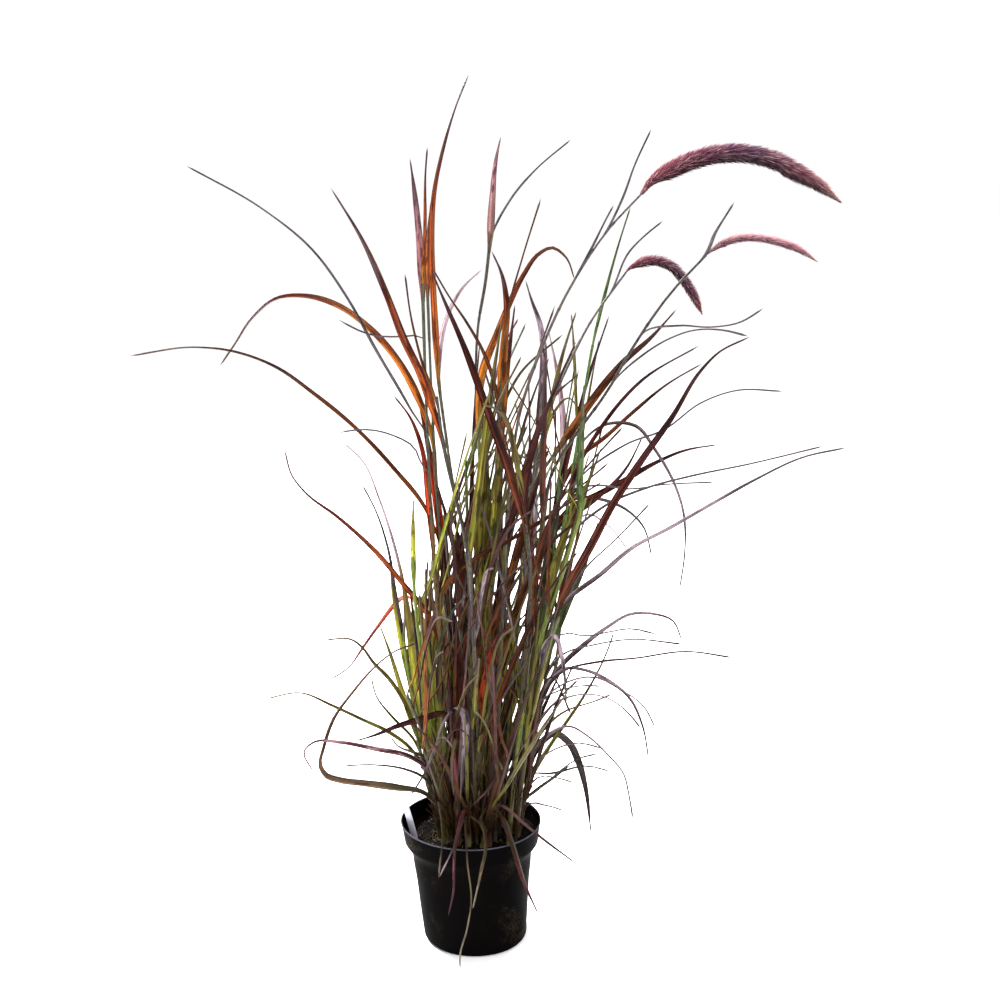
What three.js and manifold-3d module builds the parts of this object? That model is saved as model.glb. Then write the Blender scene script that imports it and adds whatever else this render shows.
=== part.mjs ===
// Potted purple fountain grass: a clump of leafy stems with three plumes,
// growing in compost in a soft black nursery pot with a blank stick label.
// Millimetres, +Z up. The origin is the middle of the pot's underside, and
// -Y is the side that the plant shows best.

import * as THREE from "three";
import { mergeVertices } from "three/addons/utils/BufferGeometryUtils.js";
import Module from "manifold-3d";

const wasm = await Module();
wasm.setup();

// Pot
const POT_HEIGHT = 172;
const RIM_RADIUS = 96;
const COLLAR_FOOT_RADIUS = 91.5;
const COLLAR_DEPTH = 28;
const SHOULDER_RADIUS = 82;
const SHOULDER_DEPTH = 44;
const BASE_RADIUS = 71;
const BASE_ROUNDING = 7;
const WALL = 1.6;
const POT_SIDES = 28;
const RIM_OFFSET = -6; // the soft pot stands crooked, its rim to the left of its foot
const DRAIN_HOLES = 4;
const DRAIN_HOLE_RADIUS = 5;
const DRAIN_RING_RADIUS = 50;

// Compost
const SEAT_GAP = 0.3; // between pieces that rest on each other
const SOIL_HEIGHT = 152;
const SOIL_EDGE_DROP = 3;
const SOIL_FLAT_RADIUS = 62;

// Label
const LABEL_WIDTH = 12;
const LABEL_THICKNESS = 0.9;
const LABEL_LENGTH = 66;
const LABEL_POINT = 10;
const LABEL_IN_SOIL = 22;
const LABEL_FOOT = [-83, -16];
const LABEL_TURN = 40;
const LABEL_LEAN = 19;

// Stems
const STEM_SIDES = 4;
const STEM_CORNER = new THREE.Vector3(0.9, 0.44, 0); // the way that a stem's first corner faces
const STEM_FOOT_RADIUS = 2.9;
const STEM_TOP_RADIUS = 1.5;
const STEM_IN_SOIL = 18;
const HOLE_GAP = 0.35;
const CROWN = [3, 0];
const CROWN_RADIUS = 50;
const CROWN_PLACES = 64;
const CROWN_SPACING = 9.2;
const GOLDEN_ANGLE = 2.399963;
const RULE_STEMS = 27;
const RULE_STEM_LENGTH = [240, 620];
const RULE_LEAN = 0.03; // sideways for each millimetre up, at the middle of the crown
const RULE_EDGE_LEAN = 0.36; // more of it at the crown's edge
const RULE_EDGE_SHORTER = 0.45;

// Blades
const RULE_BLADE_LENGTH = [200, 400];
const RULE_BLADE_WIDTH = [4.5, 9];
const RULE_BLADE_TURN = 15; // of its face at the root
const RULE_BLADE_TWIST = 50;
const KEEL = 0.95;
const TIP_KEEL = 0.65;
const CLEARANCE = 0.45;
const TRIES = 60;
const STEP_LENGTH = 135; // one facet for each such length or turn
const STEP_TURN = 28;

// The place that the seen points below are seen from. Each is an x and a z
// on the upright plane through the pot's middle, and a third value, where
// there is one, is its real depth y.
const EYE = new THREE.Vector3(34, -2200, 1198);

// The sides of the dense part of the clump as seen: height, left, right
const OUTLINE = [
  [150, -52, 58],
  [200, -75, 85],
  [260, -112, 150],
  [350, -98, 165],
  [450, -84, 118],
  [550, -62, 145],
  [650, -24, 185],
  [760, -8, 200],
  [850, 4, 190],
  [885, 60, 150],
];
const DEPTH_REACH = 310;
const LOWEST = 6;

const COLOURS = {
  rust: 0x9a4a1c,
  burgundy: 0x3d1a20,
  mauve: 0x6d5a66,
  olive: 0x66692f,
  lime: 0x8a9a35,
  green: 0x3f5a22,
  rose: 0x9a4450,
  straw: 0xa08860,
};

// Stems that show: the foot's x and y, the top's depth, seen points from
// low to high, and blades that each give the height they leave at, their
// width, the turn of the face at root and tip, and their seen points.
const SHOWN_STEMS = {
  stem_left_tall: {
    colour: "rust", foot: [-16, -14], depth: -80,
    seen: [[-29, 300], [-44, 420], [-54, 560], [-60, 720], [-64, 905]],
    blades: [
      [880, 9, 10, 30, [-69, 980], [-74, 1030], [-78, 1062]],
      [860, 5, 20, 40, [-60, 985], [-59, 1040], [-56, 1075]],
      [680, 4, 30, 60, [-82, 745], [-124, 820], [-160, 888], [-204, 950], [-262, 998], [-356, 1052]],
      [540, 8, 10, 50, [-61, 640], [-67, 690], [-82, 733], [-103, 762]],
      [380, 7, 20, 70, [-60, 462], [-94, 508], [-129, 552], [-179, 600], [-219, 632], [-236, 655], [-245, 692]],
    ],
  },
  stem_left_back: {
    colour: "rust", foot: [-7, 8], depth: 110,
    seen: [[-16, 300], [-32, 430], [-45, 580], [-53, 740], [-58, 905]],
    blades: [
      [880, 7, 10, 30, [-56, 965], [-52, 1010]],
      [680, 9, 10, 75, [-72, 760], [-99, 810], [-134, 850], [-169, 876], [-209, 889], [-249, 886],
        [-282, 860], [-304, 828], [-324, 800]],
      [530, 6.5, 30, 60, [-64, 612], [-104, 665], [-154, 720], [-204, 763], [-254, 799], [-304, 818],
        [-354, 824], [-439, 813]],
    ],
  },
  stem_burgundy_left: {
    colour: "burgundy", foot: [-4, -30], depth: -150,
    seen: [[-6, 300], [-6, 440], [-10, 560], [-24, 625], [-38, 690], [-47, 760]],
    blades: [
      [690, 9, 10, 30, [-53, 745], [-68, 790], [-89, 835], [-109, 890], [-139, 960], [-177, 1025]],
      [730, 4, 30, 50, [-66, 805], [-79, 862], [-86, 918]],
    ],
  },
  stem_orange_left: {
    colour: "rust", foot: [9, -6], depth: 40,
    seen: [[7, 300], [2, 440], [-8, 560], [-25, 635], [-36, 710], [-45, 780]],
    blades: [
      [760, 8, 10, 60, [-49, 860], [-52, 950], [-49, 1015], [-38, 1068], [-20, 1125], [-4, 1163]],
      [770, 7, 20, 40, [-42, 830], [-30, 872], [-12, 902], [12, 924]],
    ],
  },
  stem_dark_cross: {
    colour: "burgundy", foot: [43, -22], depth: -165,
    seen: [[57, 300], [70, 430], [74, 520], [68, 590]],
    blades: [
      [570, 10, 10, 25, [50, 650], [31, 705], [12, 758], [-12, 825], [-36, 882], [-54, 925]],
      [520, 9, 15, 35, [66, 640], [82, 712], [104, 770], [131, 832]],
    ],
  },
  stem_mid_tall: {
    colour: "burgundy", foot: [7, 20], depth: 150,
    seen: [[7, 350], [10, 520], [8, 660], [3, 770], [6, 850], [16, 910], [22, 965]],
    blades: [
      [940, 9, 10, 35, [24, 1010], [28, 1055], [35, 1088]],
      [950, 3.5, 30, 50, [48, 1012], [78, 1047], [122, 1084]],
    ],
  },
  stem_orange_mid: {
    colour: "rust", foot: [19, -18], depth: -60,
    seen: [[18, 300], [20, 440], [26, 560], [31, 680], [35, 780]],
    blades: [
      [740, 10, 10, 45, [39, 830], [42, 880], [36, 917], [23, 947]],
      [770, 3.5, 30, 50, [46, 880], [62, 938], [85, 1012]],
      [680, 5, 20, 40, [30, 760], [14, 815], [-8, 855], [-30, 888], [-52, 926]],
    ],
  },
  stem_olive_mid: {
    colour: "olive", foot: [16, 4], depth: 60,
    seen: [[14, 300], [11, 440], [8, 560], [8, 660], [6, 730]],
    blades: [
      [710, 10, 10, 75, [12, 795], [28, 838], [45, 880], [64, 918], [82, 943], [99, 951], [116, 940],
        [129, 908]],
    ],
  },
  flower_stem_large: {
    colour: "mauve", foot: [27, -35], depth: -70,
    seen: [[31, 300], [38, 480], [46, 640], [60, 740], [88, 825], [129, 912], [171, 975], [209, 1016]],
    blades: [
      [895, 3.5, 20, 40, [148, 948], [166, 985], [176, 1004]],
      [955, 3, 20, 40, [186, 1010], [202, 1055], [221, 1097]],
    ],
  },
  flower_stem_slim: {
    colour: "burgundy", foot: [52, -6], depth: -180,
    seen: [[62, 300], [74, 440], [86, 560], [104, 665], [136, 716], [171, 766], [201, 820], [251, 895],
      [293, 941]],
    blades: [
      [925, 4, 20, 40, [304, 974], [324, 1007]],
      [770, 3, 30, 60, [221, 818], [251, 836], [281, 846], [316, 846], [350, 838]],
      [830, 3, 30, 50, [262, 852], [300, 850], [338, 856], [368, 874]],
    ],
  },
  flower_stem_small: {
    colour: "mauve", foot: [36, 12], depth: 120,
    seen: [[45, 300], [58, 450], [72, 580], [84, 680], [98, 745], [121, 800], [148, 855], [193, 920]],
    blades: [
      [880, 3, 20, 40, [196, 945], [216, 966], [238, 984]],
    ],
  },
  stem_dark_right: {
    colour: "burgundy", foot: [55, -30], depth: -120,
    seen: [[66, 250], [81, 350], [97, 430], [111, 480]],
    blades: [
      [450, 10, 10, 45, [126, 510], [150, 556], [181, 618], [216, 675], [256, 735], [291, 795],
        [312, 817], [353, 838]],
      [430, 3.5, 30, 50, [146, 530], [186, 570], [231, 620]],
      [380, 7, 30, 40, [94, 428], [106, 437], [114, 412], [119, 380], [122, 338]],
    ],
  },
  stem_green_right: {
    colour: "green", foot: [53, 16], depth: 130,
    seen: [[66, 300], [84, 420], [101, 500], [121, 610], [134, 700], [146, 790], [156, 850]],
    blades: [
      [820, 4.5, 20, 40, [166, 890], [180, 945], [197, 1002]],
      [620, 3.5, 30, 60, [196, 697], [246, 717], [292, 752], [336, 768], [398, 767]],
      [540, 4.5, 30, 60, [170, 615], [226, 640], [276, 654], [360, 672], [453, 695]],
      [670, 5, 30, 60, [170, 724], [209, 722], [235, 690], [261, 645], [274, 605], [277, 555],
        [271, 497]],
    ],
  },
  stem_lime_right: {
    colour: "lime", foot: [45, -40], depth: -90,
    seen: [[61, 300], [78, 390], [96, 460], [116, 520], [131, 575], [146, 625]],
    blades: [
      [430, 7, 25, 50, [126, 490], [166, 522], [206, 558], [256, 586], [306, 616], [366, 651],
        [426, 680], [483, 693]],
    ],
  },
  stem_brown_right: {
    colour: "rust", foot: [33, -8], depth: 30,
    seen: [[31, 300], [31, 420], [40, 530], [58, 605], [78, 645], [98, 675], [118, 705]],
    blades: [
      [680, 10, 10, 40, [140, 738], [164, 772], [190, 804], [225, 836], [258, 873]],
    ],
  },
  stem_mauve_mid: {
    colour: "mauve", foot: [29, 28], depth: 150,
    seen: [[40, 300], [56, 440], [68, 560], [78, 660], [84, 730]],
    blades: [
      [700, 11, 10, 50, [88, 775], [89, 820], [84, 855], [75, 880], [66, 910]],
      [590, 3.5, 30, 60, [116, 632], [160, 643], [200, 638], [250, 644], [314, 647]],
    ],
  },
  stem_purple_right: {
    colour: "mauve", foot: [44, 32], depth: 170,
    seen: [[58, 300], [78, 450], [98, 570], [113, 660]],
    blades: [
      [640, 9, 10, 40, [116, 705], [112, 758], [104, 805], [95, 848]],
      [560, 9, 20, 55, [126, 612], [160, 630], [196, 650], [231, 671], [271, 689], [316, 697]],
      [590, 5, 30, 60, [136, 626], [166, 624], [196, 612], [221, 588], [234, 545]],
      [600, 7, 20, 50, [138, 682], [168, 706], [206, 741], [246, 775], [292, 803]],
    ],
  },
  stem_lime_left: {
    colour: "lime", foot: [-33, -20], depth: -60,
    seen: [[-49, 260], [-62, 340], [-71, 410], [-78, 480], [-81, 545]],
    blades: [
      [500, 7, 10, 30, [-80, 590], [-79, 627]],
    ],
  },
  stem_lime_left_low: {
    colour: "lime", foot: [-43, -2], depth: -10,
    seen: [[-60, 260], [-80, 340], [-89, 390], [-95, 440]],
    blades: [
      [405, 5, 20, 40, [-105, 500], [-114, 560], [-129, 610], [-146, 645]],
      [255, 9, 10, 30, [-76, 330], [-89, 385], [-100, 440], [-108, 500], [-112, 560]],
      [420, 5, 20, 50, [-93, 500], [-106, 565], [-124, 625], [-144, 675], [-170, 701]],
      [390, 7, 60, 30, [-82, 470], [-96, 490], [-110, 484], [-134, 453], [-158, 418], [-176, 392],
        [-208, 370]],
    ],
  },
  stem_low_left: {
    colour: "olive", foot: [-47, -22], depth: -52,
    seen: [[-58, 200], [-72, 262], [-82, 312]],
    blades: [
      [280, 6, 20, 60, [-99, 350], [-116, 377], [-136, 399], [-150, 420], [-164, 431], [-201, 430]],
      [230, 5.5, 30, 60, [-89, 277], [-112, 296], [-154, 318], [-194, 338], [-232, 355], [-280, 347]],
      [240, 4.5, 30, 50, [-84, 290], [-109, 318], [-132, 350], [-139, 380]],
    ],
  },
  stem_low_loop: {
    colour: "olive", foot: [-38, -38], depth: -52,
    seen: [[-48, 185], [-58, 222]],
    blades: [
      [180, 10, 45, 70, [-72, 211], [-104, 217], [-154, 224], [-184, 228], [-204, 236], [-211, 250],
        [-206, 275], [-191, 318], [-164, 356], [-137, 388], [-106, 414], [-76, 426]],
      [190, 7, 30, 75, [-64, 245], [-88, 263], [-134, 274], [-184, 284], [-218, 284], [-231, 272],
        [-219, 240]],
      [185, 4, 30, 60, [-70, 233], [-99, 246], [-134, 251], [-180, 250]],
    ],
  },
  stem_low_centre: {
    colour: "rose", foot: [-22, -45], depth: -64,
    seen: [[-25, 220], [-31, 300]],
    blades: [
      [280, 8, 30, 55, [-44, 326], [-66, 320], [-104, 308], [-134, 295], [-164, 285]],
      [270, 9, 20, 40, [-30, 331, -84], [-40, 318, -92], [-52, 282, -98], [-68, 240, -102],
        [-88, 205, -104]],
    ],
  },
  stem_low_right: {
    colour: "mauve", foot: [60, 3], depth: -8,
    seen: [[74, 250], [86, 320], [94, 372]],
    blades: [
      [350, 8, 30, 60, [116, 395], [146, 425], [176, 449], [206, 467], [240, 467], [262, 459],
        [277, 428]],
      [360, 4, 30, 50, [116, 409], [161, 424], [206, 431], [279, 424]],
      [330, 5, 30, 60, [116, 385], [166, 400], [216, 405], [281, 414], [346, 405]],
    ],
  },
  stem_low_right_front: {
    colour: "mauve", foot: [58, -16], depth: -44,
    seen: [[68, 205], [77, 260], [85, 315]],
    blades: [
      [300, 7.5, 30, 55, [98, 368], [122, 391], [150, 388], [182, 372], [208, 349], [226, 310],
        [236, 258]],
      [290, 4.5, 30, 60, [104, 338], [141, 353], [178, 348], [212, 320], [225, 302]],
      [240, 10, 20, 45, [92, 288], [108, 298], [126, 286], [140, 258], [150, 222], [159, 150]],
      [250, 6, 30, 60, [100, 297], [128, 308], [152, 294], [182, 264], [201, 240], [210, 205],
        [216, 170]],
      [190, 6, 20, 40, [82, 245], [104, 284], [138, 337], [162, 380], [176, 412], [186, 443]],
    ],
  },
  stem_front_left: {
    colour: "straw", foot: [-8, -47], depth: -58,
    seen: [[-9, 172], [-10, 190]],
    blades: [
      [165, 4.5, 20, 40, [-14, 172, -72], [-13, 142, -99], [-11, 105, -105], [-6, 50, -107],
        [-12, 5, -110], [-22, -36, -115], [-22, -60, -121]],
      [170, 8, 10, 35, [-16, 186, -66], [-22, 160, -88], [-28, 136, -101], [-30, 105, -105],
        [-31, 62, -104], [-38, 25, -102]],
    ],
  },
  stem_front_right: {
    colour: "rose", foot: [20, -46], depth: -62,
    seen: [[20, 180], [22, 215]],
    blades: [
      [190, 8, 10, 40, [14, 172, -72], [20, 150, -94], [21, 130, -105], [15, 95, -107], [3, 36, -104]],
      [175, 8, 15, 40, [34, 178, -76], [46, 148, -96], [55, 118, -104], [65, 82, -103], [86, 28, -94]],
      [185, 7, 15, 45, [40, 190, -84], [64, 168, -94], [92, 143, -98], [138, 105, -100]],
    ],
  },
};

// Plumes: the stem that carries each, its greatest radius, the number of
// spikelets and the seen points after its foot
const PLUMES = {
  plume_large: {
    stem: "flower_stem_large", radius: 13.5, spikelets: 132,
    seen: [[221, 1031], [246, 1046], [271, 1057], [296, 1064], [346, 1065], [371, 1059], [396, 1047],
      [428, 1030], [462, 1005]],
  },
  plume_slim: {
    stem: "flower_stem_slim", radius: 6, spikelets: 40,
    seen: [[304, 950], [319, 958], [341, 963], [364, 962], [386, 957], [408, 949], [435, 932]],
  },
  plume_small: {
    stem: "flower_stem_small", radius: 8.6, spikelets: 48,
    seen: [[208, 930], [227, 934], [249, 927], [265, 911], [279, 890], [291, 865]],
  },
};
const PLUME_COLOUR = 0x5d3440;
const PLUME_CORE = 0.56;
const SPIKELET_ANGLE = 38;

// Random numbers

function drawer(seed) {
  let state = seed;
  return (low, high) => {
    state = (state * 48271) % 2147483647;
    return low + ((high - low) * state) / 2147483647;
  };
}

// Lines in space

function seenPoint(x, z, y) {
  const scale = (y - EYE.y) / -EYE.y;
  return new THREE.Vector3(EYE.x + (x - EYE.x) * scale, y, EYE.z + (z - EYE.z) * scale);
}

function seenFrom(point) {
  const scale = -EYE.y / (point.y - EYE.y);
  return [EYE.x + (point.x - EYE.x) * scale, EYE.z + (point.z - EYE.z) * scale];
}

// Points in space for a list of seen points. A point with no depth of its
// own takes it from a straight run between those that have one.
function seenLine(startDepth, seen, endDepth, bow) {
  const last = seen.length;
  const depths = [startDepth, ...seen.map((point) => point[2])];
  if (depths[last] === undefined) depths[last] = endDepth;
  let known = 0;
  for (let i = 1; i <= last; i += 1) {
    if (depths[i] === undefined) continue;
    for (let j = known + 1; j < i; j += 1) {
      const share = (j - known) / (i - known);
      depths[j] = depths[known] + (depths[i] - depths[known]) * share;
    }
    known = i;
  }
  return seen.map(([x, z], i) => {
    const share = (i + 1) / last;
    return seenPoint(x, z, depths[i + 1] + bow * 4 * share * (1 - share));
  });
}

// A smooth line of short steps through points, leaving the first one in a
// given direction
function smoothLine(points, direction) {
  const steps = 8;
  const chords = points.slice(1).map((point, i) => point.clone().sub(points[i]));
  const lengths = chords.map((chord) => chord.length());
  const last = points.length - 1;
  const slopes = points.map((_, i) => {
    if (i === 0) return direction.clone();
    if (i === last) return chords[last - 1].clone().divideScalar(lengths[last - 1]);
    const before = lengths[i - 1];
    const after = lengths[i];
    return chords[i - 1].clone().multiplyScalar(after / before)
      .addScaledVector(chords[i], before / after)
      .divideScalar(before + after);
  });
  const line = [points[0].clone()];
  for (let i = 0; i < last; i += 1) {
    for (let k = 1; k <= steps; k += 1) {
      const u = k / steps;
      const v = 1 - u;
      line.push(new THREE.Vector3()
        .addScaledVector(points[i], v * v * (1 + 2 * u))
        .addScaledVector(points[i + 1], u * u * (3 - 2 * u))
        .addScaledVector(slopes[i], u * v * v * lengths[i])
        .addScaledVector(slopes[i + 1], -u * u * v * lengths[i]));
    }
  }
  return line;
}

// A few points of a line, closer together where it turns, each with its
// share of the line's length
function facetLine(line, least, most) {
  const weights = [0];
  const lengths = [0];
  let before = null;
  for (let i = 1; i < line.length; i += 1) {
    const step = line[i].clone().sub(line[i - 1]);
    const length = step.length();
    const turn = before ? THREE.MathUtils.radToDeg(step.angleTo(before)) : 0;
    weights.push(weights[i - 1] + length / STEP_LENGTH + turn / STEP_TURN);
    lengths.push(lengths[i - 1] + length);
    before = step;
  }
  const total = weights[line.length - 1];
  const whole = lengths[line.length - 1];
  const count = Math.max(least, Math.min(most, Math.round(total)));
  const picked = [{ point: line[0], share: 0 }];
  let i = 1;
  for (let k = 1; k < count; k += 1) {
    const wanted = (total * k) / count;
    while (weights[i] < wanted) i += 1;
    const part = (wanted - weights[i - 1]) / (weights[i] - weights[i - 1]);
    picked.push({
      point: line[i - 1].clone().lerp(line[i], part),
      share: (lengths[i - 1] + (lengths[i] - lengths[i - 1]) * part) / whole,
    });
  }
  picked.push({ point: line[line.length - 1], share: 1 });
  return picked;
}

function directionsAlong(facets) {
  return facets.map((_, i) => {
    const from = facets[Math.max(i - 1, 0)].point;
    const to = facets[Math.min(i + 1, facets.length - 1)].point;
    return to.clone().sub(from).normalize();
  });
}

// Side vectors that turn with a line and no more
function sidesAlong(directions, firstSide) {
  let side = firstSide;
  return directions.map((direction) => {
    side = side.clone().addScaledVector(direction, -side.dot(direction)).normalize();
    return side;
  });
}

// Keeping pieces clear of each other

const taken = [];

function closestGap(p, q, r, s) {
  const u = q.clone().sub(p);
  const v = s.clone().sub(r);
  const w = p.clone().sub(r);
  const a = u.dot(u);
  const b = u.dot(v);
  const c = v.dot(v);
  const d = u.dot(w);
  const e = v.dot(w);
  const spread = a * c - b * b;
  const clamp = THREE.MathUtils.clamp;
  let along = spread > 1e-6 ? clamp((b * e - c * d) / spread, 0, 1) : 0;
  let other = (b * along + e) / c;
  if (other < 0) {
    other = 0;
    along = clamp(-d / a, 0, 1);
  } else if (other > 1) {
    other = 1;
    along = clamp((b - d) / a, 0, 1);
  }
  return w.addScaledVector(u, along).addScaledVector(v, -other).length();
}

function lengthsOf(owner, facets, radiusAt) {
  return facets.slice(1).map((facet, i) => ({
    owner,
    from: facets[i].point,
    to: facet.point,
    radius: Math.max(radiusAt(facets[i].share), radiusAt(facet.share)),
  }));
}

function isClear(lengths) {
  return lengths.every((one) => taken.every((two) => {
    if (one.owner === two.owner) return true;
    const room = one.radius + two.radius + CLEARANCE;
    const reach = room + (one.from.distanceTo(one.to) + two.from.distanceTo(two.to)) / 2;
    const middleX = one.from.x + one.to.x - two.from.x - two.to.x;
    const middleY = one.from.y + one.to.y - two.from.y - two.to.y;
    const middleZ = one.from.z + one.to.z - two.from.z - two.to.z;
    if (middleX * middleX + middleY * middleY + middleZ * middleZ > 4 * reach * reach) return true;
    return closestGap(one.from, one.to, two.from, two.to) > room;
  }));
}

// Pot radius on the outside at a height
const POT_OUTSIDE = [
  [BASE_RADIUS, BASE_ROUNDING],
  [SHOULDER_RADIUS, POT_HEIGHT - SHOULDER_DEPTH],
  [COLLAR_FOOT_RADIUS, POT_HEIGHT - COLLAR_DEPTH],
  [RIM_RADIUS, POT_HEIGHT],
];

function potRadius(z) {
  if (z <= POT_OUTSIDE[0][1]) return BASE_RADIUS;
  const i = Math.max(1, POT_OUTSIDE.findIndex(([, height]) => height >= z));
  const [lowRadius, low] = POT_OUTSIDE[i - 1];
  const [highRadius, high] = POT_OUTSIDE[i];
  return lowRadius + ((highRadius - lowRadius) * (z - low)) / (high - low);
}

function potAxis(z) {
  return (RIM_OFFSET * z) / POT_HEIGHT;
}

// Where a point lies round the pot: over it, outside it, in it or in the way
function zoneOf(point, room) {
  if (point.z < LOWEST) return "blocked";
  if (point.z > POT_HEIGHT + room) return "over";
  const radius = Math.hypot(point.x - potAxis(point.z), point.y);
  if (radius > potRadius(point.z) + room) return "outside";
  const inside = potRadius(point.z) - WALL - room;
  if (radius < inside && point.z > SOIL_HEIGHT + room) return "inside";
  return "blocked";
}

function missesPot(line, room) {
  let before = "over";
  for (let i = 1; i < line.length; i += 1) {
    for (let k = 1; k <= 4; k += 1) {
      const zone = zoneOf(line[i - 1].clone().lerp(line[i], k / 4), room);
      if (zone === "blocked") return false;
      if (zone === "outside" && before === "inside") return false;
      before = zone;
    }
  }
  return true;
}

// Whether a line stays in the dense part of the clump as seen
function inOutline(line) {
  return line.every((point) => {
    const [x, z] = seenFrom(point);
    if (Math.abs(point.y) > DEPTH_REACH) return false;
    if (z < OUTLINE[0][0]) return true;
    const i = OUTLINE.findIndex(([height]) => height > z);
    if (i < 0) return false;
    const [low, lowLeft, lowRight] = OUTLINE[i - 1];
    const [high, highLeft, highRight] = OUTLINE[i];
    const share = (z - low) / (high - low);
    return x > lowLeft + (highLeft - lowLeft) * share && x < lowRight + (highRight - lowRight) * share;
  });
}

// Growing stems

function stemRadius(share) {
  return STEM_FOOT_RADIUS + (STEM_TOP_RADIUS - STEM_FOOT_RADIUS) * share;
}

function bladeWidth(width, share) {
  return width * Math.min(1, 0.42 + 5 * share) * (1 - share * share);
}

// The stem from the bottom of its hole, straight up to above the compost
function stemFrom(name, foot, points) {
  const start = new THREE.Vector3(foot[0], foot[1], SOIL_HEIGHT);
  const rise = points[0].clone().sub(start).normalize();
  const line = smoothLine([start, ...points], rise);
  const bottom = start.clone().addScaledVector(rise, -STEM_IN_SOIL / rise.z);
  const facets = facetLine(line, 3, 9);
  facets[0] = { point: bottom, share: 0 };
  const lengths = lengthsOf(name, facets, stemRadius);
  return { name, line, facets, lengths, blades: [] };
}

function growShownStem(name, plan, draw) {
  for (let i = 0; i < TRIES; i += 1) {
    const top = plan.depth + draw(-3, 3) * i;
    const bow = draw(-1, 1) * i;
    const stem = stemFrom(name, plan.foot, seenLine(plan.foot[1], plan.seen, top, bow));
    if (isClear(stem.lengths) && missesPot(stem.line.slice(4), 2)) return stem;
  }
  return null;
}

function growRuleStem(name, foot, draw) {
  const outX = foot[0] - CROWN[0];
  const outY = foot[1] - CROWN[1];
  const from = Math.hypot(outX, outY) / CROWN_RADIUS;
  for (let i = 0; i < TRIES; i += 1) {
    const heading = Math.atan2(outY, outX) + draw(-0.5, 0.5);
    const lean = RULE_LEAN + RULE_EDGE_LEAN * from + draw(-0.06, 0.08);
    const length = draw(...RULE_STEM_LENGTH) * (1 - RULE_EDGE_SHORTER * from);
    const sway = draw(0.02, 0.09);
    const aside = new THREE.Vector3(Math.cos(heading) * lean + sway, Math.sin(heading) * lean, 1);
    const start = new THREE.Vector3(foot[0], foot[1], SOIL_HEIGHT);
    const middle = start.clone().addScaledVector(aside, length * 0.5);
    const top = start.clone().addScaledVector(aside, length);
    top.x += aside.x * length * 0.12;
    top.y += aside.y * length * 0.12;
    const stem = stemFrom(name, foot, [middle, top]);
    if (isClear(stem.lengths) && inOutline(stem.line)) return stem;
  }
  return null;
}

// Growing blades

function rootOn(stem, share) {
  const place = share * (stem.line.length - 1);
  const i = Math.min(Math.floor(place), stem.line.length - 2);
  const step = stem.line[i + 1].clone().sub(stem.line[i]);
  return {
    point: stem.line[i].clone().addScaledVector(step, place - i),
    direction: step.normalize(),
  };
}

function shareAtHeight(stem, height) {
  const i = stem.line.findIndex((point) => seenFrom(point)[1] >= height);
  return (i < 0 ? stem.line.length - 1.5 : i) / (stem.line.length - 1);
}

// The place on a faceted stem that is nearest to a point
function nearestOn(facets, point) {
  const places = facets.slice(1).map((facet, i) => (
    new THREE.Line3(facets[i].point, facet.point).closestPointToPoint(point, true, new THREE.Vector3())
  ));
  return places.reduce((best, place) => (
    place.distanceToSquared(point) < best.distanceToSquared(point) ? place : best
  ));
}

function bladeFrom(stem, root, points, width, side, turns) {
  const line = smoothLine([root.point, ...points], root.direction);
  const facets = facetLine(line, 3, 11);
  facets[0] = { point: nearestOn(stem.facets, root.point), share: 0 };
  const lengths = lengthsOf(stem.name, facets, (share) => bladeWidth(width, share) / 2);
  return { line, facets, lengths, width, side, turns };
}

function addBlade(stem, blade) {
  stem.blades.push(blade);
  taken.push(...blade.lengths);
}

function growShownBlade(stem, plan, draw) {
  const [height, width, turn, endTurn, ...seen] = plan;
  const root = rootOn(stem, shareAtHeight(stem, height));
  const view = root.point.clone().sub(EYE);
  const side = root.direction.clone().cross(view).normalize();
  for (let i = 0; i < TRIES; i += 1) {
    const endDepth = root.point.y * 1.4 + draw(-30, 30) + draw(-5, 5) * i;
    const bow = draw(-2, 2) * i;
    const shift = draw(-0.3, 0.3) * i;
    const shifted = seen.map(([x, z, y]) => [x + shift, z, y]);
    const points = seenLine(root.point.y, shifted, endDepth, bow);
    const blade = bladeFrom(stem, root, points, width, side, [turn, endTurn]);
    if (isClear(blade.lengths) && missesPot(blade.line, 1.5 + width / 3)) {
      addBlade(stem, blade);
      return true;
    }
  }
  return false;
}

function growRuleBlade(stem, low, high, draw) {
  for (let i = 0; i < TRIES; i += 1) {
    const root = rootOn(stem, draw(low, high));
    const heading = draw(-Math.PI, Math.PI);
    const spread = draw(0.12, 0.6);
    const length = draw(...RULE_BLADE_LENGTH);
    const droop = 0.01 + draw(0, 0.55) * draw(0, 0.55);
    const width = draw(...RULE_BLADE_WIDTH);
    const twist = draw(-RULE_BLADE_TWIST, RULE_BLADE_TWIST);
    const aside = new THREE.Vector3(Math.cos(heading), Math.sin(heading), 0);
    const course = root.direction.clone().addScaledVector(aside, spread).normalize();
    const side = root.direction.clone().cross(aside).normalize();
    const points = [];
    let point = root.point;
    for (let k = 0; k < 4; k += 1) {
      point = point.clone().addScaledVector(course, length / 4);
      points.push(point);
      course.z -= droop * (k + 1);
      course.normalize();
    }
    const blade = bladeFrom(stem, root, points, width, side, [RULE_BLADE_TURN, twist]);
    if (inOutline(blade.line) && isClear(blade.lengths) && missesPot(blade.line, 1.5 + width / 3)) {
      addBlade(stem, blade);
      return true;
    }
  }
  return false;
}

// Plumes grow on from the top of their stem

function plumeRadius(radius, share) {
  return radius * Math.min(1, 0.42 + 5 * share, 0.3 + 2.4 * (1 - share));
}

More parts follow.
